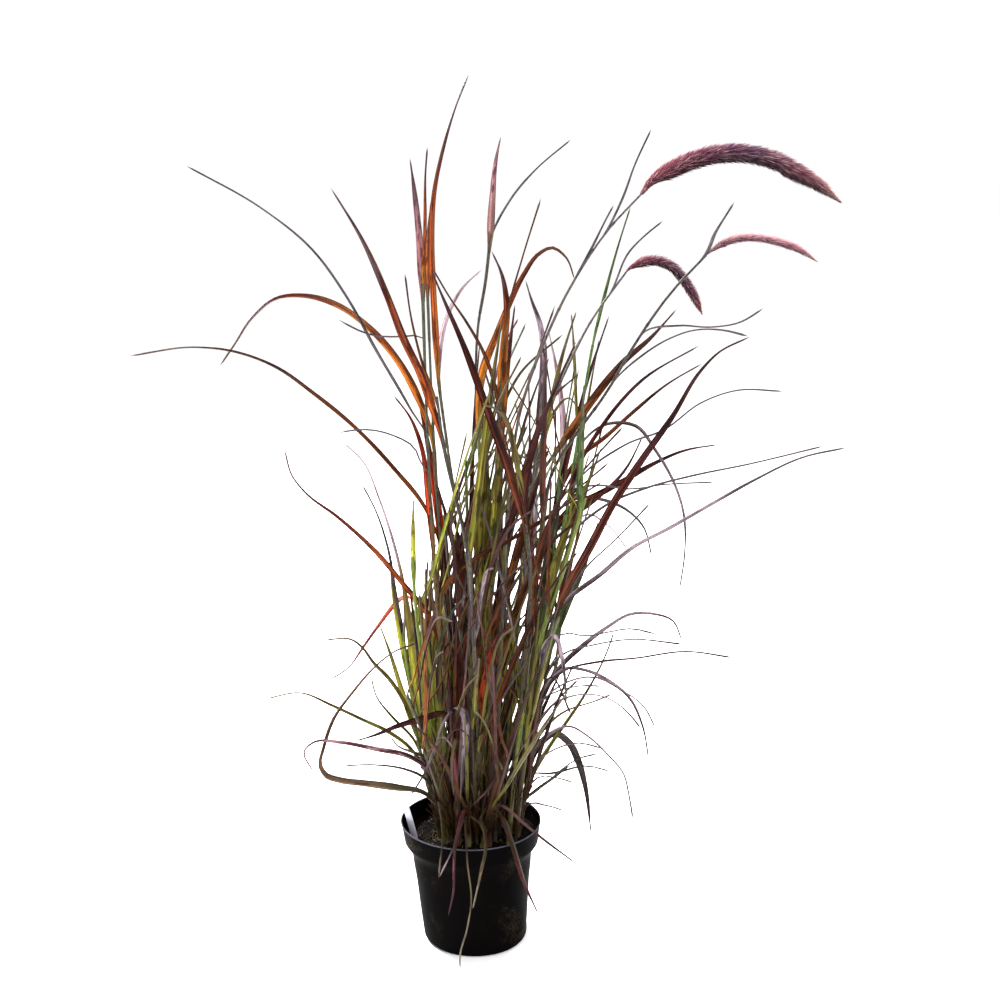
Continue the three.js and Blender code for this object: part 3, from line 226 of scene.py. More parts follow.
# Stems that show: colour, the foot's x and y, the top's depth, seen points
# from low to high, and blades that each give their colour, the height they
# leave at, their width, the turn of the face at root and tip, and their
# seen points. Places are the solids' own.
SHOWN_STEMS = {
    "stem_left_tall": ("rust", (-16, -14), -80,
        [(-29, 300), (-44, 420), (-54, 560), (-60, 720), (-64, 905)], [
        ("rose", 880, 9, 10, 30, (-69, 980), (-74, 1030), (-78, 1062)),
        ("rust", 860, 5, 20, 40, (-60, 985), (-59, 1040), (-56, 1075)),
        ("slate", 680, 4, 30, 60, (-82, 745), (-124, 820), (-160, 888), (-204, 950), (-262, 998),
         (-356, 1052)),
        ("scarlet", 540, 8, 10, 50, (-61, 640), (-67, 690), (-82, 733), (-103, 762)),
        ("rust", 380, 7, 20, 70, (-60, 462), (-94, 508), (-129, 552), (-179, 600), (-219, 632),
         (-236, 655), (-245, 692)),
    ]),
    "stem_left_back": ("rust", (-7, 8), 110, [(-16, 300), (-32, 430), (-45, 580), (-53, 740), (-58, 905)], [
        ("orange", 880, 7, 10, 30, (-56, 965), (-52, 1010)),
        ("orange", 680, 9, 10, 75, (-72, 760), (-99, 810), (-134, 850), (-169, 876), (-209, 889),
         (-249, 886), (-282, 860), (-304, 828), (-324, 800)),
        ("brown", 530, 6.5, 30, 60, (-64, 612), (-104, 665), (-154, 720), (-204, 763), (-254, 799),
         (-304, 818), (-354, 824), (-439, 813)),
    ]),
    "stem_burgundy_left": ("burgundy", (-4, -30), -150,
        [(-6, 300), (-6, 440), (-10, 560), (-24, 625), (-38, 690), (-47, 760)], [
        ("rust", 690, 9, 10, 30, (-53, 745), (-68, 790), (-89, 835), (-109, 890), (-139, 960), (-177, 1025)),
        ("brown", 730, 4, 30, 50, (-66, 805), (-79, 862), (-86, 918)),
    ]),
    "stem_orange_left": ("rust", (9, -6), 40,
        [(7, 300), (2, 440), (-8, 560), (-25, 635), (-36, 710), (-45, 780)], [
        ("rust", 760, 8, 10, 60, (-49, 860), (-52, 950), (-49, 1015), (-38, 1068), (-20, 1125), (-4, 1163)),
        ("pink", 770, 7, 20, 40, (-42, 830), (-30, 872), (-12, 902), (12, 924)),
    ]),
    "stem_dark_cross": ("burgundy", (43, -22), -165, [(57, 300), (70, 430), (74, 520), (68, 590)], [
        ("burgundy", 570, 10, 10, 25, (50, 650), (31, 705), (12, 758), (-12, 825), (-36, 882), (-54, 925)),
        ("burgundy", 520, 9, 15, 35, (66, 640), (82, 712), (104, 770), (131, 832)),
    ]),
    "stem_mid_tall": ("burgundy", (7, 20), 150,
        [(7, 350), (10, 520), (8, 660), (3, 770), (6, 850), (16, 910), (22, 965)], [
        ("rose", 940, 9, 10, 35, (24, 1010), (28, 1055), (35, 1088)),
        ("slate", 950, 3.5, 30, 50, (48, 1012), (78, 1047), (122, 1084)),
    ]),
    "stem_orange_mid": ("rust", (19, -18), -60, [(18, 300), (20, 440), (26, 560), (31, 680), (35, 780)], [
        ("orange", 740, 10, 10, 45, (39, 830), (42, 880), (36, 917), (23, 947)),
        ("brown", 770, 3.5, 30, 50, (46, 880), (62, 938), (85, 1012)),
        ("brown", 680, 5, 20, 40, (30, 760), (14, 815), (-8, 855), (-30, 888), (-52, 926)),
    ]),
    "stem_olive_mid": ("olive", (16, 4), 60, [(14, 300), (11, 440), (8, 560), (8, 660), (6, 730)], [
        ("orange", 710, 10, 10, 75, (12, 795), (28, 838), (45, 880), (64, 918), (82, 943), (99, 951),
         (116, 940), (129, 908)),
    ]),
    "flower_stem_large": ("mauve", (27, -35), -70,
        [(31, 300), (38, 480), (46, 640), (60, 740), (88, 825), (129, 912), (171, 975), (209, 1016)], [
        ("slate", 895, 3.5, 20, 40, (148, 948), (166, 985), (176, 1004)),
        ("slate", 955, 3, 20, 40, (186, 1010), (202, 1055), (221, 1097)),
    ]),
    "flower_stem_slim": ("burgundy", (52, -6), -180,
        [(62, 300), (74, 440), (86, 560), (104, 665), (136, 716), (171, 766), (201, 820),
         (251, 895), (293, 941)], [
        ("slate", 925, 4, 20, 40, (304, 974), (324, 1007)),
        ("slate", 770, 3, 30, 60, (221, 818), (251, 836), (281, 846), (316, 846), (350, 838)),
        ("slate", 830, 3, 30, 50, (262, 852), (300, 850), (338, 856), (368, 874)),
    ]),
    "flower_stem_small": ("mauve", (36, 12), 120,
        [(45, 300), (58, 450), (72, 580), (84, 680), (98, 745), (121, 800), (148, 855), (193, 920)], [
        ("slate", 880, 3, 20, 40, (196, 945), (216, 966), (238, 984)),
    ]),
    "stem_dark_right": ("burgundy", (55, -30), -120, [(66, 250), (81, 350), (97, 430), (111, 480)], [
        ("burgundy", 450, 10, 10, 45, (126, 510), (150, 556), (181, 618), (216, 675), (256, 735),
         (291, 795), (312, 817), (353, 838)),
        ("slate", 430, 3.5, 30, 50, (146, 530), (186, 570), (231, 620)),
        ("mauve", 380, 7, 30, 40, (94, 428), (106, 437), (114, 412), (119, 380), (122, 338)),
    ]),
    "stem_green_right": ("green", (53, 16), 130,
        [(66, 300), (84, 420), (101, 500), (121, 610), (134, 700), (146, 790), (156, 850)], [
        ("green", 820, 4.5, 20, 40, (166, 890), (180, 945), (197, 1002)),
        ("slate", 620, 3.5, 30, 60, (196, 697), (246, 717), (292, 752), (336, 768), (398, 767)),
        ("slate", 540, 4.5, 30, 60, (170, 615), (226, 640), (276, 654), (360, 672), (453, 695)),
        ("mauve", 670, 5, 30, 60, (170, 724), (209, 722), (235, 690), (261, 645), (274, 605),
         (277, 555), (271, 497)),
    ]),
    "stem_lime_right": ("lime", (45, -40), -90,
        [(61, 300), (78, 390), (96, 460), (116, 520), (131, 575), (146, 625)], [
        ("mauve", 430, 7, 25, 50, (126, 490), (166, 522), (206, 558), (256, 586), (306, 616),
         (366, 651), (426, 680), (483, 693)),
    ]),
    "stem_brown_right": ("rust", (33, -8), 30,
        [(31, 300), (31, 420), (40, 530), (58, 605), (78, 645), (98, 675), (118, 705)], [
        ("brown", 680, 10, 10, 40, (140, 738), (164, 772), (190, 804), (225, 836), (258, 873)),
    ]),
    "stem_mauve_mid": ("mauve", (29, 28), 150, [(40, 300), (56, 440), (68, 560), (78, 660), (84, 730)], [
        ("mauve", 700, 11, 10, 50, (88, 775), (89, 820), (84, 855), (75, 880), (66, 910)),
        ("slate", 590, 3.5, 30, 60, (116, 632), (160, 643), (200, 638), (250, 644), (314, 647)),
    ]),
    "stem_purple_right": ("mauve", (44, 32), 170, [(58, 300), (78, 450), (98, 570), (113, 660)], [
        ("pink", 640, 9, 10, 40, (116, 705), (112, 758), (104, 805), (95, 848)),
        ("burgundy", 560, 9, 20, 55, (126, 612), (160, 630), (196, 650), (231, 671), (271, 689),
         (316, 697)),
        ("slate", 590, 5, 30, 60, (136, 626), (166, 624), (196, 612), (221, 588), (234, 545)),
        ("brown", 600, 7, 20, 50, (138, 682), (168, 706), (206, 741), (246, 775), (292, 803)),
    ]),
    "stem_lime_left": ("lime", (-33, -20), -60,
        [(-49, 260), (-62, 340), (-71, 410), (-78, 480), (-81, 545)], [
        ("lime", 500, 7, 10, 30, (-80, 590), (-79, 627)),
    ]),
    "stem_lime_left_low": ("lime", (-43, -2), -10, [(-60, 260), (-80, 340), (-89, 390), (-95, 440)], [
        ("slate", 405, 5, 20, 40, (-105, 500), (-114, 560), (-129, 610), (-146, 645)),
        ("lime", 255, 9, 10, 30, (-76, 330), (-89, 385), (-100, 440), (-108, 500), (-112, 560)),
        ("pink", 420, 5, 20, 50, (-93, 500), (-106, 565), (-124, 625), (-144, 675), (-170, 701)),
        ("scarlet", 390, 7, 60, 30, (-82, 470), (-96, 490), (-110, 484), (-134, 453), (-158, 418),
         (-176, 392), (-208, 370)),
    ]),
    "stem_low_left": ("olive", (-47, -22), -52, [(-58, 200), (-72, 262), (-82, 312)], [
        ("olive", 280, 6, 20, 60, (-99, 350), (-116, 377), (-136, 399), (-150, 420), (-164, 431),
         (-201, 430)),
        ("olive", 230, 5.5, 30, 60, (-89, 277), (-112, 296), (-154, 318), (-194, 338), (-232, 355),
         (-280, 347)),
        ("olive", 240, 4.5, 30, 50, (-84, 290), (-109, 318), (-132, 350), (-139, 380)),
    ]),
    "stem_low_loop": ("olive", (-38, -38), -52, [(-48, 185), (-58, 222)], [
        ("striped", 180, 10, 45, 70, (-72, 211), (-104, 217), (-154, 224), (-184, 228), (-204, 236),
         (-211, 250), (-206, 275), (-191, 318), (-164, 356), (-137, 388), (-106, 414), (-76, 426)),
        ("flushed", 190, 7, 30, 75, (-64, 245), (-88, 263), (-134, 274), (-184, 284), (-218, 284),
         (-231, 272), (-219, 240)),
        ("slate", 185, 4, 30, 60, (-70, 233), (-99, 246), (-134, 251), (-180, 250)),
    ]),
    "stem_low_centre": ("rose", (-22, -45), -64, [(-25, 220), (-31, 300)], [
        ("burgundy", 280, 8, 30, 55, (-44, 326), (-66, 320), (-104, 308), (-134, 295), (-164, 285)),
        ("mauve", 270, 9, 20, 40, (-30, 331, -84), (-40, 318, -92), (-52, 282, -98), (-68, 240, -102),
         (-88, 205, -104)),
    ]),
    "stem_low_right": ("mauve", (60, 3), -8, [(74, 250), (86, 320), (94, 372)], [
        ("mauve", 350, 8, 30, 60, (116, 395), (146, 425), (176, 449), (206, 467), (240, 467),
         (262, 459), (277, 428)),
        ("slate", 360, 4, 30, 50, (116, 409), (161, 424), (206, 431), (279, 424)),
        ("burgundy", 330, 5, 30, 60, (116, 385), (166, 400), (216, 405), (281, 414), (346, 405)),
    ]),
    "stem_low_right_front": ("mauve", (58, -16), -44, [(68, 205), (77, 260), (85, 315)], [
        ("mauve", 300, 7.5, 30, 55, (98, 368), (122, 391), (150, 388), (182, 372), (208, 349),
         (226, 310), (236, 258)),
        ("mauve", 290, 4.5, 30, 60, (104, 338), (141, 353), (178, 348), (212, 320), (225, 302)),
        ("slate", 240, 10, 20, 45, (92, 288), (108, 298), (126, 286), (140, 258), (150, 222), (159, 150)),
        ("pink", 250, 6, 30, 60, (100, 297), (128, 308), (152, 294), (182, 264), (201, 240), (210, 205),
         (216, 170)),
        ("olive", 190, 6, 20, 40, (82, 245), (104, 284), (138, 337), (162, 380), (176, 412), (186, 443)),
    ]),
    "stem_front_left": ("straw", (-8, -47), -58, [(-9, 172), (-10, 190)], [
        ("dead", 165, 4.5, 20, 40, (-14, 172, -72), (-13, 142, -99), (-11, 105, -105), (-6, 50, -107),
         (-12, 5, -110), (-22, -36, -115), (-22, -60, -121)),
        ("crimson", 170, 8, 10, 35, (-16, 186, -66), (-22, 160, -88), (-28, 136, -101), (-30, 105, -105),
         (-31, 62, -104), (-38, 25, -102)),
    ]),
    "stem_front_right": ("rose", (20, -46), -62, [(20, 180), (22, 215)], [
        ("dead", 190, 8, 10, 40, (14, 172, -72), (20, 150, -94), (21, 130, -105), (15, 95, -107),
         (3, 36, -104)),
        ("burgundy", 175, 8, 15, 40, (34, 178, -76), (46, 148, -96), (55, 118, -104), (65, 82, -103),
         (86, 28, -94)),
        ("rose", 185, 7, 15, 45, (40, 190, -84), (64, 168, -94), (92, 143, -98), (138, 105, -100)),
    ]),
}

# Plumes: the stem that carries each, its greatest radius, and the seen
# points after its foot
PLUMES = {
    "plume_large": ("flower_stem_large", 13.5,
        [(221, 1031), (246, 1046), (271, 1057), (296, 1064), (346, 1065), (371, 1059), (396, 1047),
         (428, 1030), (462, 1005)]),
    "plume_slim": ("flower_stem_slim", 6,
        [(304, 950), (319, 958), (341, 963), (364, 962), (386, 957), (408, 949), (435, 932)]),
    "plume_small": ("flower_stem_small", 8.6,
        [(208, 930), (227, 934), (249, 927), (265, 911), (279, 890), (291, 865)]),
}

# Fine blades that show and that the solids leave out, as on the stems above
FINE_BLADES = {
    "stem_olive_mid": [
        ("olive", 470, 15, 8, 16, (9, 560), (13, 640), (14, 700), (10, 762)),
        ("lime", 300, 11, 10, 20, (10, 380), (14, 450), (24, 520), (27, 570)),
    ],
    "stem_orange_mid": [
        ("olive", 560, 12, 8, 18, (30, 620), (33, 680), (34, 728)),
        ("brown", 420, 12, 10, 24, (40, 490), (58, 560), (80, 640), (100, 700)),
    ],
    "stem_green_right": [
        ("green", 420, 12, 8, 20, (92, 480), (99, 540), (108, 600), (116, 660)),
        ("olive", 440, 10, 8, 16, (100, 510), (116, 569), (142, 630), (166, 696)),
        ("burgundy", 590, 6, 10, 30, (130, 655), (163, 718), (216, 782), (289, 827)),
        ("lime", 330, 9, 10, 24, (86, 400), (98, 470), (108, 540)),
    ],
    "stem_mid_tall": [
        ("olive", 440, 9, 10, 24, (14, 500), (20, 570), (17, 650), (12, 720)),
        ("burgundy", 330, 11, 10, 20, (4, 400), (-2, 470), (-12, 540), (-30, 610)),
    ],
    "stem_mauve_mid": [("mauve", 480, 9, 10, 24, (68, 520), (76, 570), (80, 620), (78, 665))],
    "stem_orange_left": [
        ("brown", 380, 11, 10, 20, (0, 440), (-12, 510), (-30, 580), (-48, 650)),
        ("olive", 250, 10, 10, 20, (4, 340), (2, 420), (-6, 500), (-14, 560)),
    ],
    "stem_burgundy_left": [
        ("burgundy", 330, 10, 10, 24, (0, 420), (14, 500), (34, 570), (70, 640)),
        ("scarlet", 280, 10, 8, 14, (4, 325), (15, 380), (26, 425), (42, 452)),
    ],
    "stem_brown_right": [
        ("crimson", 300, 9, 10, 24, (26, 370), (22, 430), (30, 500), (44, 560)),
        ("brown", 360, 12, 10, 24, (44, 430), (66, 500), (96, 560), (140, 600)),
    ],
    "stem_lime_left": [
        ("lime", 235, 14, 8, 12, (-60, 300), (-74, 359), (-84, 430), (-92, 500), (-99, 541)),
        ("lime", 220, 15, 8, 12, (-47, 287), (-60, 359), (-67, 430), (-74, 500)),
        ("olive", 230, 11, 8, 12, (-52, 295), (-63, 345), (-73, 402), (-80, 458), (-85, 507)),
    ],
    "stem_lime_left_low": [
        ("lime", 225, 12, 8, 12, (-66, 290), (-80, 345), (-90, 400), (-98, 450)),
        ("lime", 240, 8, 8, 16, (-80, 302), (-98, 359), (-112, 409), (-128, 458)),
    ],
    "stem_left_back": [
        ("scarlet", 470, 11, 10, 20, (-42, 560), (-50, 630), (-60, 700), (-74, 770)),
        ("brown", 360, 11, 10, 20, (-30, 440), (-40, 520), (-46, 590), (-50, 650)),
    ],
    "stem_front_left": [
        ("pink", 172, 4, 20, 40, (-18, 166, -78), (-28, 134, -98), (-40, 106, -103), (-50, 84, -102)),
        ("straw", 176, 4.5, 20, 40, (-6, 176, -60), (8, 164, -68), (18, 152, -72)),
    ],
    "stem_left_tall": [
        ("brown", 450, 7, 10, 20, (-38, 508), (-5, 541), (41, 566), (112, 612), (170, 650)),
        ("slate", 640, 2.4, 30, 60, (-66, 668), (-78, 694), (-104, 709), (-130, 716), (-154, 716),
         (-176, 712)),
        ("slate", 820, 2.2, 30, 60, (-88, 838), (-118, 838), (-139, 843), (-154, 850), (-172, 860)),
    ],
    "stem_low_centre": [
        ("burgundy", 230, 13, 8, 14, (-22, 300), (-20, 360), (-24, 430), (-32, 500)),
        ("mauve", 290, 11, 12, 24, (-12, 334, -88), (-5, 318, -98), (-6, 286, -104), (-10, 240, -104),
         (-14, 200, -102)),
        ("straw", 250, 8, 20, 40, (-28, 286, -90), (-33, 270, -98), (-34, 245, -102), (-31, 205, -98)),
    ],
    "stem_low_loop": [
        ("straw", 195, 6, 20, 60, (-66, 262), (-84, 270), (-104, 278), (-116, 297)),
        ("straw", 180, 4, 20, 60, (-50, 196, -70), (-46, 168, -90), (-45, 140, -102), (-49, 104, -105),
         (-51, 82, -104)),
    ],
    "stem_dark_cross": [
        ("brown", 400, 11, 8, 14, (74, 470), (82, 530), (100, 596), (131, 663)),
    ],
    "stem_low_right": [
        ("slate", 230, 3.5, 30, 60, (96, 238), (118, 242), (146, 250), (168, 247), (191, 238)),
        ("rose", 330, 3.5, 30, 60, (126, 372), (160, 378), (196, 360), (226, 338), (246, 300)),
    ],
    "stem_low_right_front": [
        ("slate", 190, 4, 30, 60, (76, 208), (96, 224), (116, 243), (140, 260), (170, 268)),
        ("straw", 180, 4, 30, 60, (78, 196), (92, 193), (108, 189), (124, 182)),
        ("slate", 285, 4, 30, 60, (88, 344), (112, 358), (141, 365), (177, 364)),
        ("olive", 235, 5, 20, 40, (88, 296), (119, 328), (163, 344), (188, 355)),
        ("slate", 205, 4, 30, 60, (88, 234), (116, 231), (139, 223)),
        ("rose", 225, 4.5, 30, 60, (88, 260), (112, 276), (138, 283), (176, 274)),
        ("green", 190, 7, 20, 40, (82, 214), (109, 235), (132, 253)),
    ],
    "stem_dark_right": [
        ("slate", 420, 3, 30, 60, (124, 440), (146, 436), (176, 441), (206, 446), (246, 437)),
        ("green", 330, 11, 8, 14, (98, 420), (122, 480), (146, 541), (162, 596)),
    ],
    "stem_purple_right": [
        ("burgundy", 520, 7, 10, 30, (112, 590), (151, 618), (196, 663), (220, 712)),
        ("pink", 570, 3.5, 30, 60, (126, 590), (148, 604), (176, 588), (204, 552)),
    ],
    "stem_front_right": [
        ("rose", 205, 5.5, 20, 40, (30, 240, -70), (22, 222, -80), (8, 204, -86), (-8, 188, -88)),
    ],
}

# Leaf colours: five stops from root to tip at the places given, the colour of
# the streaks, and the colour of the margins
LEAF_PLACES = (0.0, 0.14, 0.36, 0.62, 0.84)
LEAF_COLOURS = {
    "rust": ("A8823E", "AA5220", "8A3420", "5E2C28", "564850", "D07C3C", "35120C"),
    "orange": ("967E3C", "B06820", "90421C", "662C22", "503840", "E4A048", "3C160C"),
    "scarlet": ("8A6630", "C2581E", "C23C1E", "A23422", "6E3430", "F08450", "4A120C"),
    "brown": ("7C6A38", "70421E", "5E2C18", "4C2014", "4E3632", "9C5E2E", "220F09"),
    "burgundy": ("5E4826", "502418", "3C120C", "401612", "4A3036", "8C4A38", "180908"),
    # In the mauve blades the pale fourth stop is a painted highlight, the sheen on the tops of their arches,
    # and the pale streaks are partly painted sheen too
    "mauve": ("6C6844", "54423C", "5E4A50", "BEA8B4", "584C54", "C4B2BC", "2C1E1E"),
    # In the pink blades the pale streaks are partly painted sheen
    "pink": ("8A8A6E", "A89698", "BEA8B2", "C8B0BA", "B4A4A8", "F0E0E6", "7C5A66"),
    "slate": ("6A6050", "5A5050", "564C50", "5E5458", "524A50", "8E8488", "2A2424"),
    "olive": ("84863E", "7E7A32", "6E682A", "625026", "665840", "BEB650", "2E2010"),
    "lime": ("8E9A3E", "B8C440", "C4CC4E", "B0A84A", "8E7A4A", "F8F488", "5A6028"),
    "green": ("708438", "5C7236", "4E6234", "565A40", "58584A", "8CA45C", "222E10"),
    "rose": ("A2946E", "98786E", "966468", "B08084", "6A5058", "CCACB0", "50262E"),
    "crimson": ("6E4C36", "923844", "8A2C3C", "501E2A", "38202A", "D07484", "2A0C18"),
    "straw": ("8E8058", "8C7850", "7E6A48", "74644C", "8A7A68", "C4B084", "463426"),
    "dead": ("76683F", "685838", "605036", "766648", "A29484", "AC9A70", "2A2016"),
    "striped": ("70735C", "76785A", "C89878", "381814", "42221E", "A8A080", "6A3A2C"),
    # In the flushed blade the pale streaks and the pale margin colour, which also fills its patches, are
    # painted highlights
    "flushed": ("3A1A1E", "4A2028", "5E2A34", "70384A", "46303A", "C88A98", "F4C8D0"),
}

# Culm colours: node band, sheath above it, and the bare culm under the next
# node, then the streaks
CULM_COLOURS = {
    "rust": ("24100A", "66502E", "464A40", "281A12"),
    "burgundy": ("1C100E", "4E4428", "3E3A38", "1E1412"),
    "mauve": ("261A18", "5E5A3A", "544C4E", "2C2426"),
    "olive": ("32200F", "767438", "565C3A", "34321A"),
    "lime": ("42361A", "7E8A3C", "66743A", "485422"),
    "green": ("28260F", "64783A", "4A6034", "263A1C"),
    "rose": ("26120F", "6E4A38", "5E4C40", "32191A"),
    "straw": ("3E2C1C", "8A7A56", "786C50", "4A3A2A"),
}

# The colours that go with each stem's own among its grown blades
BLADE_MIXES = {
    "rust": ("rust", "orange", "brown", "olive", "burgundy", "brown"),
    "burgundy": ("burgundy", "brown", "olive", "burgundy", "brown", "olive"),
    "mauve": ("mauve", "olive", "burgundy", "brown", "olive", "burgundy"),
    "olive": ("olive", "green", "brown", "olive", "burgundy", "olive"),
    "lime": ("lime", "olive", "green", "olive", "brown", "olive"),
    "green": ("green", "olive", "brown", "green", "olive", "burgundy"),
    "rose": ("rose", "burgundy", "brown", "crimson", "brown", "olive"),
    "straw": ("straw", "olive", "straw", "brown", "rose", "green"),
}
TUFT_MIX = ("dead", "brown", "olive", "burgundy", "brown", "rust", "olive", "brown")

# Blades that are rolled up: share of their width that is left
ROLLED = {"dead": 0.62, "crimson": 0.85, "straw": 0.8}

# Plume colours: five stops from start to tip at the places given, then the
# colour of the painted shade deep inside a plume and under it
PLUME_PLACES = (0.0, 0.22, 0.5, 0.78, 1.0)
PLUME_COLOURS = {
    "plume_large": ("B4606E", "8C4862", "623C5E", "945668", "C09890", "240A1A"),
    "plume_slim": ("9C928C", "CCA0A8", "EAB8C4", "D090A0", "C8B4A4", "5A2436"),
    "plume_small": ("B46070", "884860", "5E405C", "804458", "B06C68", "2A0C1A"),
}


def linear(colour):
    """An sRGB hex colour as linear red, green, blue and alpha."""
    parts = [int(colour[i:i + 2], 16) / 255 for i in (0, 2, 4)]
    return [c / 12.92 if c <= 0.04045 else ((c + 0.055) / 1.055) ** 2.4 for c in parts] + [1.0]


# Settings


class PotSettings(bpy.types.PropertyGroup):
    sides: IntProperty(name="Sides", description="Flats round the pot", default=96, min=24)
    softness: FloatProperty(
        name="Softness", description="How far the thin wall waves in and out", default=0.0006,
        unit="LENGTH")
    lip: FloatProperty(
        name="Lip", description="Height of the rolled lip of the rim", default=0.0022, unit="LENGTH")
    colour: FloatVectorProperty(
        name="Colour", description="Black polypropylene", default=linear("050404"), size=4,
        subtype="COLOR")
    # Dried soil on the pot, which at its left and right sides also stands for painted sheen
    dust_and_sheen: FloatVectorProperty(
        name="Dust_and_sheen", description="Dried soil on the wall", default=linear("6A5A48"), size=4,
        subtype="COLOR")
    # Painted highlight: the light line along the top of the rim's lip
    lip_highlight: FloatVectorProperty(
        name="Lip_highlight", description="The highlit lip of the rim", default=linear("4E4C56"), size=4,
        subtype="COLOR")


class CompostSettings(bpy.types.PropertyGroup):
    lump: FloatProperty(
        name="Lumps", description="Height of the surface's lumps", default=0.0034, unit="LENGTH")
    crumbs: IntProperty(name="Crumbs", description="Loose crumbs", default=1700)
    fibres: IntProperty(name="Fibres", description="Bits of dead grass", default=130)
    colour: FloatVectorProperty(
        name="Peat", description="Moist peat", default=linear("060403"), size=4, subtype="COLOR")
    bark: FloatVectorProperty(
        name="Bark", description="Bits of bark", default=linear("1A110B"), size=4, subtype="COLOR")


class LabelSettings(bpy.types.PropertyGroup):
    bow: FloatProperty(name="Bow", description="How far the stick bows", default=0.0012, unit="LENGTH")
    edge: FloatProperty(name="Edge", description="Rounding of the edges", default=0.0002, unit="LENGTH")
    colour: FloatVectorProperty(
        name="Colour", description="White polystyrene", default=linear("BEBCCC"), size=4,
        subtype="COLOR")


class LeafSettings(bpy.types.PropertyGroup):
    thickness: FloatProperty(
        name="Thickness", description="Thickness of a blade", default=0.00035, unit="LENGTH")
    fold: FloatProperty(
        name="Fold", description="Depth of a blade's fold as a share of half its width", default=0.5)
    twist: FloatProperty(
        name="Twist", description="Share of its solid's twist that a blade has", default=0.6)
    widening: FloatProperty(
        name="Widening", description="How much wider a soft blade is than its solid", default=1.15)
    tip: FloatProperty(
        name="Tip", description="Width that a blade keeps to its tip, coarser than real so that it shows",
        default=0.0023, unit="LENGTH")
    fine_blades: IntProperty(
        name="Fine blades", description="More narrow blades on each stem", default=1)
    basal_blades: IntProperty(
        name="Basal blades", description="Upright blades low on each stem", default=1)
    tuft_blades: IntProperty(
        name="Tuft", description="Short blades and old sheaths at each stem's foot", default=8)
    vein_count: IntProperty(
        name="Veins", description="Veins across a blade, drawn coarser than real", default=9)


class PlumeSettings(bpy.types.PropertyGroup):
    bristle: FloatProperty(
        name="Bristle", description="Thickness of a bristle, coarser than real so that it shows",
        default=0.0006, unit="LENGTH")
    density: FloatProperty(
        name="Density", description="Bristles for each square millimetre of a plume", default=0.4)
    spikelet_density: FloatProperty(
        name="Spikelets", description="Spikelets for each square millimetre of a plume", default=0.07)
    fuzz: FloatProperty(
        name="Fuzz", description="How far the longest bristles stand out", default=0.0024,
        unit="LENGTH")


class StageSettings(bpy.types.PropertyGroup):
    floor_radius: FloatProperty(
        name="Floor radius", description="Radius of the studio floor", default=14.0, unit="LENGTH")
    floor: FloatVectorProperty(
        name="Floor", description="Pale floor", default=linear("F7F7F7"), size=4, subtype="COLOR")
    sky: FloatVectorProperty(
        name="Surround", description="White surround", default=linear("FFFFFF"), size=4,
        subtype="COLOR")
    sky_strength: FloatProperty(
        name="Surround strength", description="Brightness of the surround", default=1.08)
    back: FloatProperty(
        name="Back light", description="Power of the light behind on the left", default=320.0,
        unit="POWER")
    top: FloatProperty(
        name="Top light", description="Power of the light above", default=70.0, unit="POWER")
    front: FloatProperty(
        name="Front light", description="Power of the light in front on the right", default=45.0,
        unit="POWER")


# Random numbers


def drawer(seed):
    """A source of repeatable draws between two bounds."""
    state = [seed]

    def draw(low, high):
        state[0] = (state[0] * 48271) % 2147483647
        return low + ((high - low) * state[0]) / 2147483647

    return draw


# Lines in space


def seen_point(x, z, y):
    """The point at depth y that is seen at x and z, which are measured at depth 0."""
    scale = (y - EYE[1]) / -EYE[1]
    return np.array((EYE[0] + (x - EYE[0]) * scale, y, EYE[2] + (z - EYE[2]) * scale))


def seen_from(points):
    """Where points are seen, as x and z measured at depth 0."""
    scale = -EYE[1] / (points[..., 1] - EYE[1])
    return EYE[0] + (points[..., 0] - EYE[0]) * scale, EYE[2] + (points[..., 2] - EYE[2]) * scale


def seen_line(start_depth, seen, end_depth, bow):
    """Points in space for seen points. One with no depth of its own takes it from its neighbours."""
    last = len(seen)
    depths = [start_depth] + [point[2] if len(point) > 2 else None for point in seen]
    if depths[last] is None:
        depths[last] = end_depth
    known = 0
    for i in range(1, last + 1):
        if depths[i] is None:
            continue
        for j in range(known + 1, i):
            share = (j - known) / (i - known)
            depths[j] = depths[known] + (depths[i] - depths[known]) * share
        known = i
    points = []
    for i, point in enumerate(seen):
        share = (i + 1) / last
        points.append(seen_point(point[0], point[1], depths[i + 1] + bow * 4 * share * (1 - share)))
    return points


def unit(vector):
    return vector / np.linalg.norm(vector)


def line_steps(line):
    """The lengths of a line's steps."""
    return np.linalg.norm(np.diff(line, axis=0), axis=1)


def run_along(line):
    """How far along a line each of its points lies."""
    return np.concatenate(([0], np.cumsum(line_steps(line))))


def smooth_line(points, direction):
    """A smooth line of short steps through points, leaving the first in a given direction."""
    points = np.array(points, float)
    chords = np.diff(points, axis=0)
    lengths = line_steps(points)
    slopes = np.empty_like(points)
    slopes[0] = direction
    slopes[-1] = chords[-1] / lengths[-1]
    for i in range(1, len(points) - 1):
        before, after = lengths[i - 1], lengths[i]
        slopes[i] = (chords[i - 1] * (after / before) + chords[i] * (before / after)) / (before + after)
    u = np.arange(1, CHORD_STEPS + 1)[:, None] / CHORD_STEPS
    v = 1 - u
    line = [points[:1]]
    for i, length in enumerate(lengths):
        line.append(points[i] * (v * v * (1 + 2 * u)) + points[i + 1] * (u * u * (3 - 2 * u))
                    + slopes[i] * (u * v * v * length) + slopes[i + 1] * (-u * u * v * length))
    return np.vstack(line)


